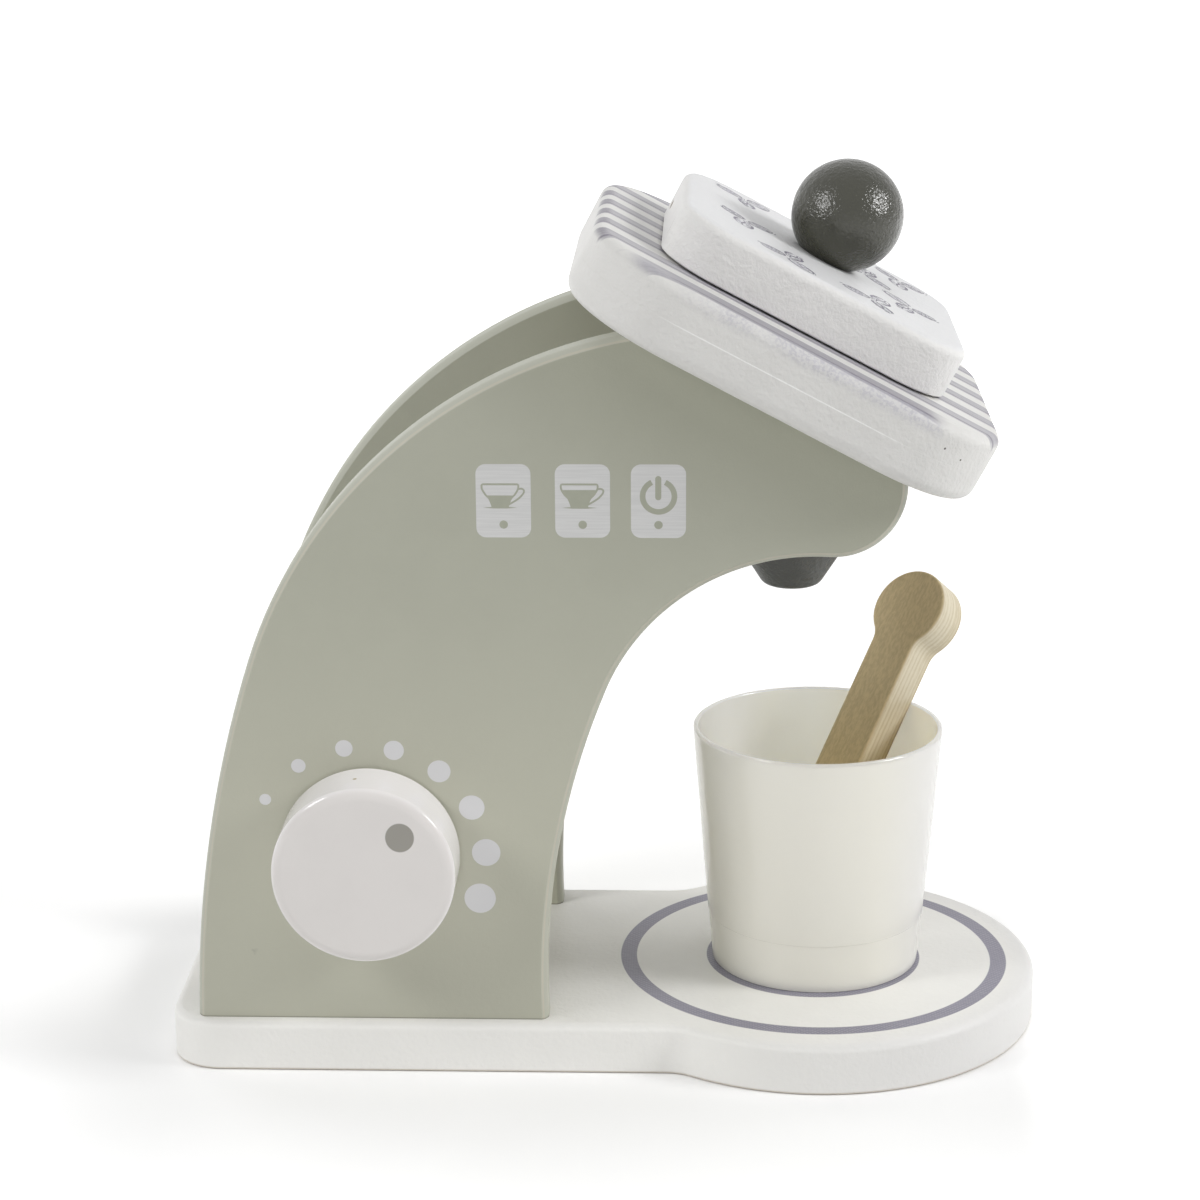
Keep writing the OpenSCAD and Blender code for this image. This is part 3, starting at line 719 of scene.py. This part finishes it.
# painted shade: the coat is darker towards the head, beneath its overhang
shadeTowardsHead = shader.smooth(shader.math("MULTIPLY_ADD", x, s["slope"], z), *s["high"])
coat = shader.mix(shadeTowardsHead, coat, paintSettings["sageHighShade"])
away = shader.math("ABSOLUTE", y)
low, high = panelSettings["inner"] * mm, (panelSettings["inner"] + panelSettings["thick"]) * mm
rising = (low + s["edgeFrom"], low + s["edgeTo"])
falling = (high - s["edgeFrom"], high - s["edgeTo"])
# painted light: the edge faces are paler than the front faces
litEdgeMask = shader.between(away, rising, falling)
# painted highlight: a thin warm pale line along the outer edge of the face
start, end, soft = s["arrisHighlight"]
arrisHighlight = shader.band(away, high - start, high - end, soft)
edged = shader.mix(litEdgeMask, coat, paintSettings["sageEdgeLit"])
edged = shader.mix(shader.times(arrisHighlight, s["arrisHighlightShare"]), edged, paintSettings["arrisHighlight"])
ragged = shader.times(shader.noise(800.0, 2.0), s["smudgeRagged"])
smudge = shader.smooth(shader.plus(shader.gap((x, z), s["smudge"]), ragged), *s["smudgeSize"])
smudged = shader.times(smudge, shader.smooth(y, *s["smudgeFront"]), s["smudgeShare"])
edged = shader.mix(smudged, edged, tuple(c * 0.5 for c in paintSettings["sage"]))
# painted shade: a thin dark line at the panels' foot, where they stand on the base
contactShade = shader.smooth(z, *((baseSettings["thick"] + c) * mm for c in s["contactShade"]))
edged = shader.mix(shader.times(contactShade, s["contactShadeShare"]), edged, s["contactShadeTone"])
onPanel = shader.finish(edged, coatRoughness + s["rougher"], sheen)
for panel in panels:
    dress(panel, onPanel)

# glue line and pinholes on the head's side; the glue line is painted paler than the coat, a painted highlight
# along the raised seam
seamSettings = {
    "rise": 8.2 * mm, "half": 0.13 * mm, "soft": 0.1 * mm, "from": -29 * mm, "to": 28 * mm, "fade": 9 * mm,
    "side": (-50 * mm, -51.5 * mm), "tone": srgb(250, 250, 248), "hole": srgb(92, 88, 82),
    "holes": ((36.5, -49.8, 11.15, 0.25), (41.2, -46.6, 10.0, 0.22), (40.6, -47.2, 12.95, 0.14)),
}


def headSides(shader, coat, along, across, rise):
    s = seamSettings
    line = shader.band(rise, s["rise"] - s["half"], s["rise"] + s["half"], s["soft"])
    starts = shader.smooth(along, s["from"] - s["fade"] / 2, s["from"] + s["fade"])
    ends = shader.smooth(along, s["to"] + s["fade"] / 2, s["to"] - s["fade"])
    line = shader.times(line, starts, ends, shader.smooth(across, *s["side"]))
    # the seam's pale line is a painted highlight
    shade = shader.mix(line, coat, s["tone"])
    for *spot, size in s["holes"]:
        hole = shader.smooth(shader.gap((along, across, rise), spot), size * 1.3 * mm, size * 0.8 * mm)
        shade = shader.mix(hole, shade, s["hole"])
    return shade


shader = Shader("headPaint")
# the head's white is set darker than the base's and lid's, a painted shade
coat = paintCoat(shader, paintSettings["head"])
orangePeel(shader)
seamed = headSides(shader, coat, *shader.split(shader.local(onHead)))
dress(lowBoard, shader.finish(seamed, coatRoughness, sheen))

# stripes run down the slope of the head and thin out over its rounded edge
stripeSettings = {
    "pitch": 13.35 * mm, "core": -37.4 * mm, "slant": 0.021, "before": 1.5 * mm, "after": 5.7 * mm,
    "lead": 1.5 * mm, "soft": 0.35 * mm, "ink": srgb(182, 180, 185), "deepInk": srgb(122, 117, 129),
    "coreHalf": 0.36 * mm, "echo": 4.3 * mm, "echoHalf": 0.3 * mm, "coreSoft": 0.5 * mm, "wobble": 0.5 * mm,
    "bodyFade": (13.6 * mm, 15.6 * mm), "coreFade": (12.8 * mm, 15.0 * mm), "tips": 46.5 * mm,
    "tipFade": 2.2 * mm, "tipShare": 0.6, "frontEdge": (-49.5 * mm, -50.0 * mm), "echoShare": 0.35,
    "farEdge": (49.5 * mm, 50.0 * mm), "streaks": (30, 1500, 30), "streakShare": 0.4,
}
# the front stripe lies on the rounded edge, reaches less far and is darker towards its low end
frontSettings = {
    "step": 0.9 * mm, "stepAt": (-41 * mm, -43 * mm), "behind": (-44 * mm, -42 * mm),
    "body": ((-43 * mm, -37 * mm), (36 * mm, 28 * mm)), "core": ((-33 * mm, -28 * mm), (33.5 * mm, 29 * mm)),
    "deepFrom": (-38 * mm, -16 * mm), "deepShare": 0.35,
}
s, front = stripeSettings, frontSettings
shader = Shader("stripePaint")
# the upper head board takes the same darker white, a painted shade
coat = paintCoat(shader, paintSettings["head"])
orangePeel(shader)
slope = shader.local(onHead)
along, across, rise = shader.split(slope)
wobble = shader.times(shader.minus(shader.noise(90.0, 2.0), 0.5), s["wobble"])
drift = shader.plus(shader.plus(across, wobble), shader.times(along, s["slant"]))
# over the long edges the stripes go on down the rounding, and the front one lies a little further in
frontEdge, farEdge = shader.smooth(across, *s["frontEdge"]), shader.smooth(across, *s["farEdge"])
dropped = shader.minus((headSettings["lowThick"] + headSettings["highThick"]) * mm, rise)
drift = shader.plus(drift, shader.times(dropped, shader.minus(farEdge, frontEdge)))
drift = shader.minus(drift, shader.times(shader.smooth(across, *front["stepAt"]), front["step"]))
start = s["before"] + s["lead"]
phase = shader.math("MODULO", shader.plus(drift, 8 * s["pitch"] - s["core"] + start), s["pitch"])
body = shader.band(phase, start - s["before"], start + s["after"], s["soft"])
core = shader.band(phase, start - s["coreHalf"], start + s["coreHalf"], s["coreSoft"])
middle = start + s["echo"]
echo = shader.band(phase, middle - s["echoHalf"], middle + s["echoHalf"], s["coreSoft"])
streak = shader.noise(1.0, 3.0, 0.6, vector=shader.stretched(slope, s["streaks"]))
body = shader.times(body, shader.smooth(rise, *s["bodyFade"]))
core = shader.times(core, shader.smooth(rise, *s["coreFade"]))
behind = shader.smooth(across, *front["behind"])
body = shader.times(body, shader.larger(shader.between(along, *front["body"]), behind))
core = shader.times(core, shader.larger(shader.between(along, *front["core"]), behind))
tips = shader.smooth(shader.math("ABSOLUTE", along), s["tips"], s["tips"] + s["tipFade"])
streaks = shader.times(shader.smooth(streak, 0.45, 0.75), s["streakShare"])
deep = shader.larger(streaks, shader.times(tips, s["tipShare"]))
deep = shader.larger(shader.times(echo, s["echoShare"]), deep)
lowEnd = shader.smooth(along, *front["deepFrom"])
deep = shader.larger(deep, shader.times(shader.minus(1.0, behind), lowEnd, front["deepShare"]))
striped = shader.mix(body, coat, shader.mix(deep, s["ink"], s["deepInk"]))
striped = shader.mix(core, striped, s["deepInk"])
# a frosting of stripe colour below the front edge
spraySettings = {
    "ink": srgb(184, 182, 193), "fade": (11.9 * mm, 14.5 * mm), "across": (-50.3 * mm, -51.0 * mm),
    "along": ((-33 * mm, -24 * mm), (46 * mm, 26 * mm)), "speckle": (0.46, 0.6), "speckleShare": (0.5, 0.4),
    "patch": (0.36, 0.58), "patchShare": (0.42, 0.25),
}
s = spraySettings
speckle = shader.smooth(shader.noise(1500.0, 2.0, 0.6), *s["speckle"])
patch = shader.smooth(shader.noise(70.0, 2.0), *s["patch"])
below = shader.smooth(across, *s["across"])
for reach in s["along"]:
    below = shader.times(below, shader.smooth(along, *reach))
share, least = s["patchShare"]
frost = shader.times(shader.smooth(rise, *s["fade"]), below, shader.plus(shader.times(patch, share), least))
share, least = s["speckleShare"]
frost = shader.times(frost, shader.plus(shader.times(speckle, share), least))
striped = shader.mix(frost, striped, s["ink"])
dress(highBoard, shader.finish(headSides(shader, striped, along, across, rise), coatRoughness, sheen))

# lid: a brown rub and a hair crack on its uphill side; its top is painted a little darker than its sides, a
# painted shade
markSettings = {
    "rub": (-35.0, 14.5, 20.8), "rubStretch": (1.0, 1.0, 1.9), "rubSize": 5.2 * mm, "rubEdge": 1.1 * mm,
    "rubTone": srgb(120, 103, 76), "ragged": 5.5 * mm, "crack": (-19.3, 23.2), "lean": 0.42,
    "crackHalf": (0.22 * mm, 0.08 * mm), "crackRise": (19.6 * mm, 23.4 * mm, 0.5 * mm),
    "crackSide": (-33 * mm, -34 * mm), "crackShare": 0.8, "top": (27.4 * mm, 28.2 * mm),
}
s = markSettings
shader = Shader("lidPaint")
coat = paintCoat(shader, paintSettings["lid"])
orangePeel(shader)
along, across, rise = shader.split(shader.local(onHead))
offs = [shader.minus(v, c * mm) for v, c in zip((along, across, rise), s["rub"])]
offs = [shader.times(v, stretch) for v, stretch in zip(offs, s["rubStretch"])]
ragged = shader.plus(shader.length(*offs), shader.times(shader.noise(420.0, 3.0, 0.6), s["ragged"]))
rub = shader.smooth(ragged, s["rubSize"], s["rubSize"] - s["rubEdge"])
place, height = (c * mm for c in s["crack"])
slip = shader.minus(shader.minus(across, place), shader.times(shader.minus(rise, height), s["lean"]))
crack = shader.smooth(shader.math("ABSOLUTE", slip), *s["crackHalf"])
crack = shader.times(crack, shader.band(rise, *s["crackRise"]), shader.smooth(along, *s["crackSide"]))
# painted shade: the top face is a little darker than the sides
coat = shader.mix(shader.smooth(rise, *s["top"]), coat, paintSettings["lidTop"])
marks = shader.larger(rub, shader.times(crack, s["crackShare"]))
dress(lid, shader.finish(shader.mix(marks, coat, s["rubTone"]), coatRoughness, sheen))

# dial: a printed dot on its front, a side painted paler than its front as painted light, and one small chip
dotSettings = {
    "x": -92.95 * mm, "z": 61.8 * mm, "radius": 3.17 * mm, "soft": 0.12 * mm, "tall": 0.95,
    "front": (-52.5 * mm, -53.5 * mm), "side": (-54.5 * mm, -53.0 * mm), "ink": srgb(156, 153, 145),
    "chip": (-103.4, -47.0, 72.8), "chipSize": (0.6 * mm, 0.3 * mm), "chipTone": srgb(188, 172, 140),
    "grain": 0.00002, "roughness": 0.13, "gloss": 0.55,
}
s = dotSettings
shader = Shader("dialPaint")
coat = paintCoat(shader, paintSettings["dial"], s["grain"])
x, y, z = shader.split()
reach = shader.length(shader.minus(x, s["x"]), shader.times(shader.minus(z, s["z"]), s["tall"]))
dot = shader.smooth(reach, s["radius"] + s["soft"], s["radius"] - s["soft"])
dot = shader.times(dot, shader.smooth(y, *s["front"]))
# painted light: the side is paler than the front
coat = shader.mix(shader.smooth(y, *s["side"]), coat, paintSettings["dialSideLit"])
toned = shader.mix(dot, coat, s["ink"])
chip = shader.smooth(shader.gap((x, y, z), s["chip"]), *s["chipSize"])
toned = shader.mix(chip, toned, s["chipTone"])
dress(dial, shader.finish(toned, s["roughness"], s["gloss"]))

# prints: the plates show the strokes of the screen, the dots beside the dial are paler
printSettings = {
    "sage": (srgb(171, 173, 157), srgb(168, 170, 154)), "wash": (srgb(228, 228, 230), srgb(220, 219, 225)),
    "bean": (srgb(100, 96, 110), srgb(150, 146, 158)), "plate": (srgb(220, 220, 219), srgb(213, 213, 212)),
    "dots": srgb(221, 221, 222), "dotsBelow": (110 * mm, 100 * mm), "strokes": (60, 1, 2200),
    "mottle": (0.35, 0.65), "roughness": 0.5,
}
s = printSettings
for name, obj, tones in (
    ("sagePrintInk", sagePrint, s["sage"]), ("beanWashCoat", washPrint, s["wash"]),
    ("beanInkCoat", inkPrint, s["bean"]),
):
    shader = Shader(name)
    mottle = shader.smooth(shader.noise(420.0, 3.0, 0.6), *s["mottle"])
    dress(obj, shader.finish(shader.mix(mottle, *tones), s["roughness"]))
shader = Shader("palePrintInk")
x, y, z = shader.split()
stroke = shader.noise(1.0, 2.0, 0.6, vector=shader.mapped(scale=s["strokes"]))
plateInk = shader.mix(shader.smooth(stroke, *s["mottle"]), *s["plate"])
plateInk = shader.mix(shader.smooth(z, *s["dotsBelow"]), plateInk, s["dots"])
dress(palePrint, shader.finish(plateInk, s["roughness"]))

nozzleSettings = {"tone": srgb(84, 86, 85), "roughness": 0.45}
shader = Shader("charcoalPaint")
orangePeel(shader)
coat = paintCoat(shader, nozzleSettings["tone"])
dress(cadNodes["nozzle"], shader.finish(coat, nozzleSettings["roughness"]))

ballSettings = {
    "bumps": ((800.0, 0.00024), (1700.0, 0.00014)), "tone": srgb(55, 55, 41), "deep": srgb(48, 48, 35),
    "roughness": 0.09, "gloss": 0.72,
}
s = ballSettings
shader = Shader("oliveLacquer")
for scale, depth in s["bumps"]:
    shader.bump(shader.noise(scale, 2.0, 0.6), depth)
lacquer = shader.mix(shader.smooth(shader.noise(45.0, 3.0, 0.6), 0.35, 0.7), s["tone"], s["deep"])
dress(cadNodes["lid_ball"], shader.finish(lacquer, s["roughness"], s["gloss"]))

# the cup lets a little light through. Its inside is painted paler than its outside, a painted light, and
# yellower and darker towards the spoon, a painted shade and painted reflection; its outside is painted darker
# on the right, a painted shade
cupSettings = {
    "outside": srgb(255, 253, 242), "outsideRightShade": srgb(236, 235, 232), "insideLeftLit": srgb(255, 252, 226),
    "inside": srgb(255, 243, 196), "spoonGlowAndShade": srgb(250, 228, 176), "cloud": srgb(225, 222, 214),
    "facing": (0.0, -4 * mm), "above": (13 * mm, 20 * mm), "leftTo": (-24 * mm, -8 * mm),
    "shaded": (-2 * mm, 21 * mm), "rightFrom": (12 * mm, 27 * mm), "lip": 69.0 * mm, "lipSoft": 0.3 * mm,
    "lipShare": 0.8, "insideShare": 0.75, "outsideShare": 0.2, "radius": (1.0, 1.0, 1.0), "scale": 0.015,
    "roughness": 0.16, "waves": (90.0, 0.0002), "clouds": (30.0, 0.1),
}
s = cupSettings
shader = Shader("creamPlastic")
scale, depth = s["waves"]
shader.bump(shader.noise(scale, 2.0), depth)
facing = shader.node("NewGeometry", {}, "Normal")
outwards = shader.node("VectorMath", {0: facing, 1: shader.place}, "Value", operation="DOT_PRODUCT")
x, y, z = shader.split()
within = shader.times(shader.smooth(outwards, *s["facing"]), shader.smooth(z, *s["above"]))
onLip = shader.smooth(z, s["lip"] - s["lipSoft"], s["lip"] + s["lipSoft"])
shaded = shader.smooth(x, *s["shaded"])
# painted light: the inside is paler, most of all on the left
inside = shader.mix(shader.smooth(x, *s["leftTo"]), s["insideLeftLit"], s["inside"])
# painted shade and painted reflection of the spoon: the inside turns yellower and darker towards the right
inside = shader.mix(shaded, inside, s["spoonGlowAndShade"])
# painted shade: the outside is darker on the right
sides = shader.mix(shader.smooth(x, *s["rightFrom"]), s["outside"], s["outsideRightShade"])
scale, share = s["clouds"]
cloud = shader.mix(shader.times(shader.noise(scale, 2.0), share), sides, s["cloud"])
shader.finish(shader.mix(within, cloud, inside), s["roughness"])
share = shader.times(within, shader.math("MULTIPLY_ADD", shaded, s["insideShare"] - 1, 1.0))
share = shader.larger(share, shader.times(onLip, s["lipShare"]))
shader.assign("Subsurface Weight", shader.larger(share, s["outsideShare"]))
shader.assign("Subsurface Radius", s["radius"])
shader.assign("Subsurface Scale", s["scale"])
dress(cadNodes["cup"], shader.material)

# birch plywood: grain along the faces, the layers as lines on the cut edges
spoonSettings = {
    "turn": 47.0, "lean": 52.62, "origin": (3.06, 0.66, 28.76), "thick": 9.2, "ply": 1.35,
    "face": srgb(214, 195, 153), "faceDeep": srgb(197, 179, 139), "edge": srgb(224, 215, 192),
    "edgeDeep": srgb(209, 197, 168), "cornerTone": srgb(180, 156, 110), "cornerToneShare": 0.5,
    "fibre": (160, 700, 700), "fleck": (700, 1700, 1700), "layer": (14, 14, 1300),
    "figure": (0.38, 0.62), "lines": (0.38, 0.66), "faceFrom": 0.4 * mm, "faceTo": 0.12 * mm,
    "topCorner": (-0.6 * mm, -0.2 * mm, 0.2 * mm), "lowCorner": (0.2 * mm, 0.9 * mm, 0.3 * mm),
    "grainDepth": 0.00006, "roughness": 0.55,
}
s = spoonSettings
turned = Matrix.Rotation(math.radians(s["turn"]), 4, "Z")
leaned = Matrix.Rotation(-math.radians(s["lean"]), 4, "Y")
shader = Shader("birchPly")
ply = shader.local(turned @ leaned @ Matrix.Translation(s["origin"]))
along, across, depth = shader.split(ply)
fibre = shader.noise(1.0, 4.0, 0.65, vector=shader.stretched(ply, s["fibre"]))
fleck = shader.noise(1.0, 2.0, 0.5, vector=shader.stretched(ply, s["fleck"]))
figure = shader.plus(shader.times(fibre, 0.45), shader.times(fleck, 0.55))
face = shader.mix(shader.smooth(figure, *s["figure"]), s["face"], s["faceDeep"])
layer = shader.noise(1.0, 2.0, 0.5, vector=shader.stretched(ply, s["layer"]))
wave = shader.math("SINE", shader.times(depth, 2 * math.pi / (s["ply"] * mm)))
lines = shader.plus(shader.times(layer, 0.7), shader.plus(shader.times(wave, 0.12), shader.times(fleck, 0.3)))
edge = shader.mix(shader.smooth(lines, *s["lines"]), s["edge"], s["edgeDeep"])
bottom = -s["thick"] * mm
topFace = shader.smooth(depth, -s["faceFrom"], -s["faceTo"])
lowFace = shader.smooth(depth, bottom + s["faceFrom"], bottom + s["faceTo"])
# the corners where the faces meet the cut edges are toned darker
topCorner = shader.band(depth, *s["topCorner"])
low, high, soft = s["lowCorner"]
lowCorner = shader.band(depth, bottom + low, bottom + high, soft)
corner = shader.times(shader.plus(topCorner, lowCorner), s["cornerToneShare"])
birch = shader.mix(corner, shader.mix(shader.plus(topFace, lowFace), edge, face), s["cornerTone"])
shader.bump(fibre, s["grainDepth"])
dress(cadNodes["spoon"], shader.finish(birch, s["roughness"]))

# the hidden pieces: bare beech and zinc
beechSettings = {
    "grain": (900, 90, 900), "grainRange": (0.35, 0.7), "grainDepth": 0.0001, "roughness": 0.6,
    "tone": srgb(205, 180, 140), "deep": srgb(180, 150, 108),
}
s = beechSettings
shader = Shader("bareBeech")
grain = shader.noise(1.0, 4.0, 0.6, vector=shader.mapped(scale=s["grain"]))
shader.bump(grain, s["grainDepth"])
shader.finish(shader.mix(shader.smooth(grain, *s["grainRange"]), s["tone"], s["deep"]), s["roughness"])
for node in ("nozzle_block", "base_dowels", "block_dowels", "dial_axle", "dial_button", "lid_plug"):
    dress(cadNodes[node], shader.material)

zincSettings = {
    "bump": (700.0, 0.00003), "mottle": 260.0, "tone": srgb(190, 190, 194), "deep": srgb(176, 176, 181),
    "roughness": 0.35,
}
s = zincSettings
shader = Shader("zincSteel")
scale, depth = s["bump"]
shader.bump(shader.noise(scale, 2.0), depth)
zinc = shader.mix(shader.noise(s["mottle"], 2.0), s["tone"], s["deep"])
shader.finish(zinc, s["roughness"], metallic=1.0)
for node in ("base_screws", "head_screws", "lid_screw"):
    dress(cadNodes[node], shader.material)
print("stage: materials")

# floor: it keeps the shadow, and reads as white where it is looked at or mirrored, save around the object,
# where that white glow is held back as a painted shadow
floorSettings = {
    "half": 4000.0, "drop": -0.05, "corners": ((-1, -1), (1, -1), (1, 1), (-1, 1)),
    "tone": (0.93, 0.93, 0.93), "roughness": 0.9, "under": 0.062, "near": 0.3, "far": 1.0, "start": 0.3,
    "end": 1.0, "reach": 0.09, "leftOf": (-143 * mm, 1.5), "rightOf": (42 * mm, 6.0),
    "before": (-40 * mm, 0.9), "behind": (40 * mm, 2.6),
}


def seenDirectly(nodes, links):
    path = nodes.new("ShaderNodeLightPath")
    total = path.outputs["Is Camera Ray"]
    for name in ("Is Glossy Ray", "Is Transmission Ray"):
        larger = nodes.new("ShaderNodeMath")
        larger.operation = "MAXIMUM"
        links.new(total, larger.inputs[0])
        links.new(path.outputs[name], larger.inputs[1])
        total = larger.outputs[0]
    return total


s = floorSettings
floorVerts = [(x * s["half"], y * s["half"], s["drop"]) for x, y in s["corners"]]
floorMesh = linkMesh("floorPlane", floorVerts, [[0, 1, 2, 3]], False)
shader = Shader("floorPaper")
floorTone = shader.mix(shader.noise(3.0), s["tone"], tuple(c * 0.99 for c in s["tone"]))
x, y, z = shader.split()
# painted shadow: the white glow is held back beneath the object and comes back away from it, each side with
# its own share in how fast it comes back
sides = (
    (shader.minus(s["leftOf"][0], x), s["leftOf"][1]), (shader.minus(x, s["rightOf"][0]), s["rightOf"][1]),
    (shader.minus(s["before"][0], y), s["before"][1]), (shader.minus(y, s["behind"][0]), s["behind"][1]),
)
offs = [shader.times(shader.larger(off, 0.0), share) for off, share in sides]
shadowFade = shader.smooth(shader.length(*offs), 0.0, s["reach"])
glow = shader.plus(shader.times(shadowFade, s["near"] - s["under"]), s["under"])
farOff = shader.smooth(shader.length(x, y), s["start"], s["end"])
glow = shader.plus(shader.times(farOff, s["far"] - s["near"]), glow)
shader.finish(floorTone, s["roughness"], gloss=0.0)
shader.assign("Emission Color", (1, 1, 1))
shader.assign("Emission Strength", shader.times(glow, seenDirectly(shader.nodes, shader.links)))
dress(floorMesh, shader.material)

# each lamp: name, azimuth, height, power, size
lightSettings = {
    "centre": (-0.03, 0.0, 0.08), "distance": 1.1, "room": 0.28, "mirrored": ("rightLamp", "leftLamp"),
    "lamps": (
        ("rightLamp", -14, 29, 5.35, 0.36), ("leftLamp", -150, 34, 3.5, 0.36),
        ("topLamp", -90, 65, 1.75, 0.7), ("backLeftLamp", 135, 25, 2.4, 0.7),
        ("backRightLamp", 45, 25, 1.95, 0.7),
    ),
}
centre = Vector(lightSettings["centre"])
for name, azimuth, height, power, size in lightSettings["lamps"]:
    light = bpy.data.lights.new(name, "AREA")
    light.shape = "DISK"
    light.size = size
    light.energy = power
    lamp = bpy.data.objects.new(name, light)
    a, h = math.radians(azimuth), math.radians(height)
    outwards = Vector((math.cos(a) * math.cos(h), math.sin(a) * math.cos(h), math.sin(h)))
    lamp.location = centre + outwards * lightSettings["distance"]
    lamp.rotation_euler = (centre - lamp.location).to_track_quat("-Z", "Y").to_euler()
    lamp.visible_glossy = name in lightSettings["mirrored"]
    bpy.context.scene.collection.objects.link(lamp)

world = bpy.data.worlds.new("paleRoom")
bpy.context.scene.world = world
world.use_nodes = True
tree = world.node_tree
background = tree.nodes["Background"]
background.inputs["Color"].default_value = (1, 1, 1, 1)
strength = tree.nodes.new("ShaderNodeMapRange")
tree.links.new(seenDirectly(tree.nodes, tree.links), strength.inputs["Value"])
strength.inputs["To Min"].default_value = lightSettings["room"]
strength.inputs["To Max"].default_value = 1.0
tree.links.new(strength.outputs[0], background.inputs["Strength"])

cameraSettings = {
    "place": (-0.02594, -0.66354, 0.29326), "yaw": 2.135, "pitch": 16.192, "roll": -0.352,
    "lens": 89.1, "sensor": 36.0, "clip": 0.01,
}
yaw, pitch, roll = (math.radians(cameraSettings[k]) for k in ("yaw", "pitch", "roll"))
level = Vector((math.cos(yaw), math.sin(yaw), 0))
ahead = Vector((-math.sin(yaw) * math.cos(pitch), math.cos(yaw) * math.cos(pitch), -math.sin(pitch)))
above = level.cross(ahead)
right = level * math.cos(roll) + above * math.sin(roll)
up = above * math.cos(roll) - level * math.sin(roll)
camera = bpy.data.objects.new("camera", bpy.data.cameras.new("camera"))
camera.data.lens = cameraSettings["lens"]
camera.data.sensor_width = cameraSettings["sensor"]
camera.data.clip_start = cameraSettings["clip"]
camera.data.dof.use_dof = False
turnedTo = Matrix((right, up, -ahead)).transposed().to_4x4()
camera.matrix_world = Matrix.Translation(cameraSettings["place"]) @ turnedTo
bpy.context.scene.collection.objects.link(camera)
bpy.context.scene.camera = camera
bpy.context.scene.view_settings.view_transform = "Standard"

print("stage: done")
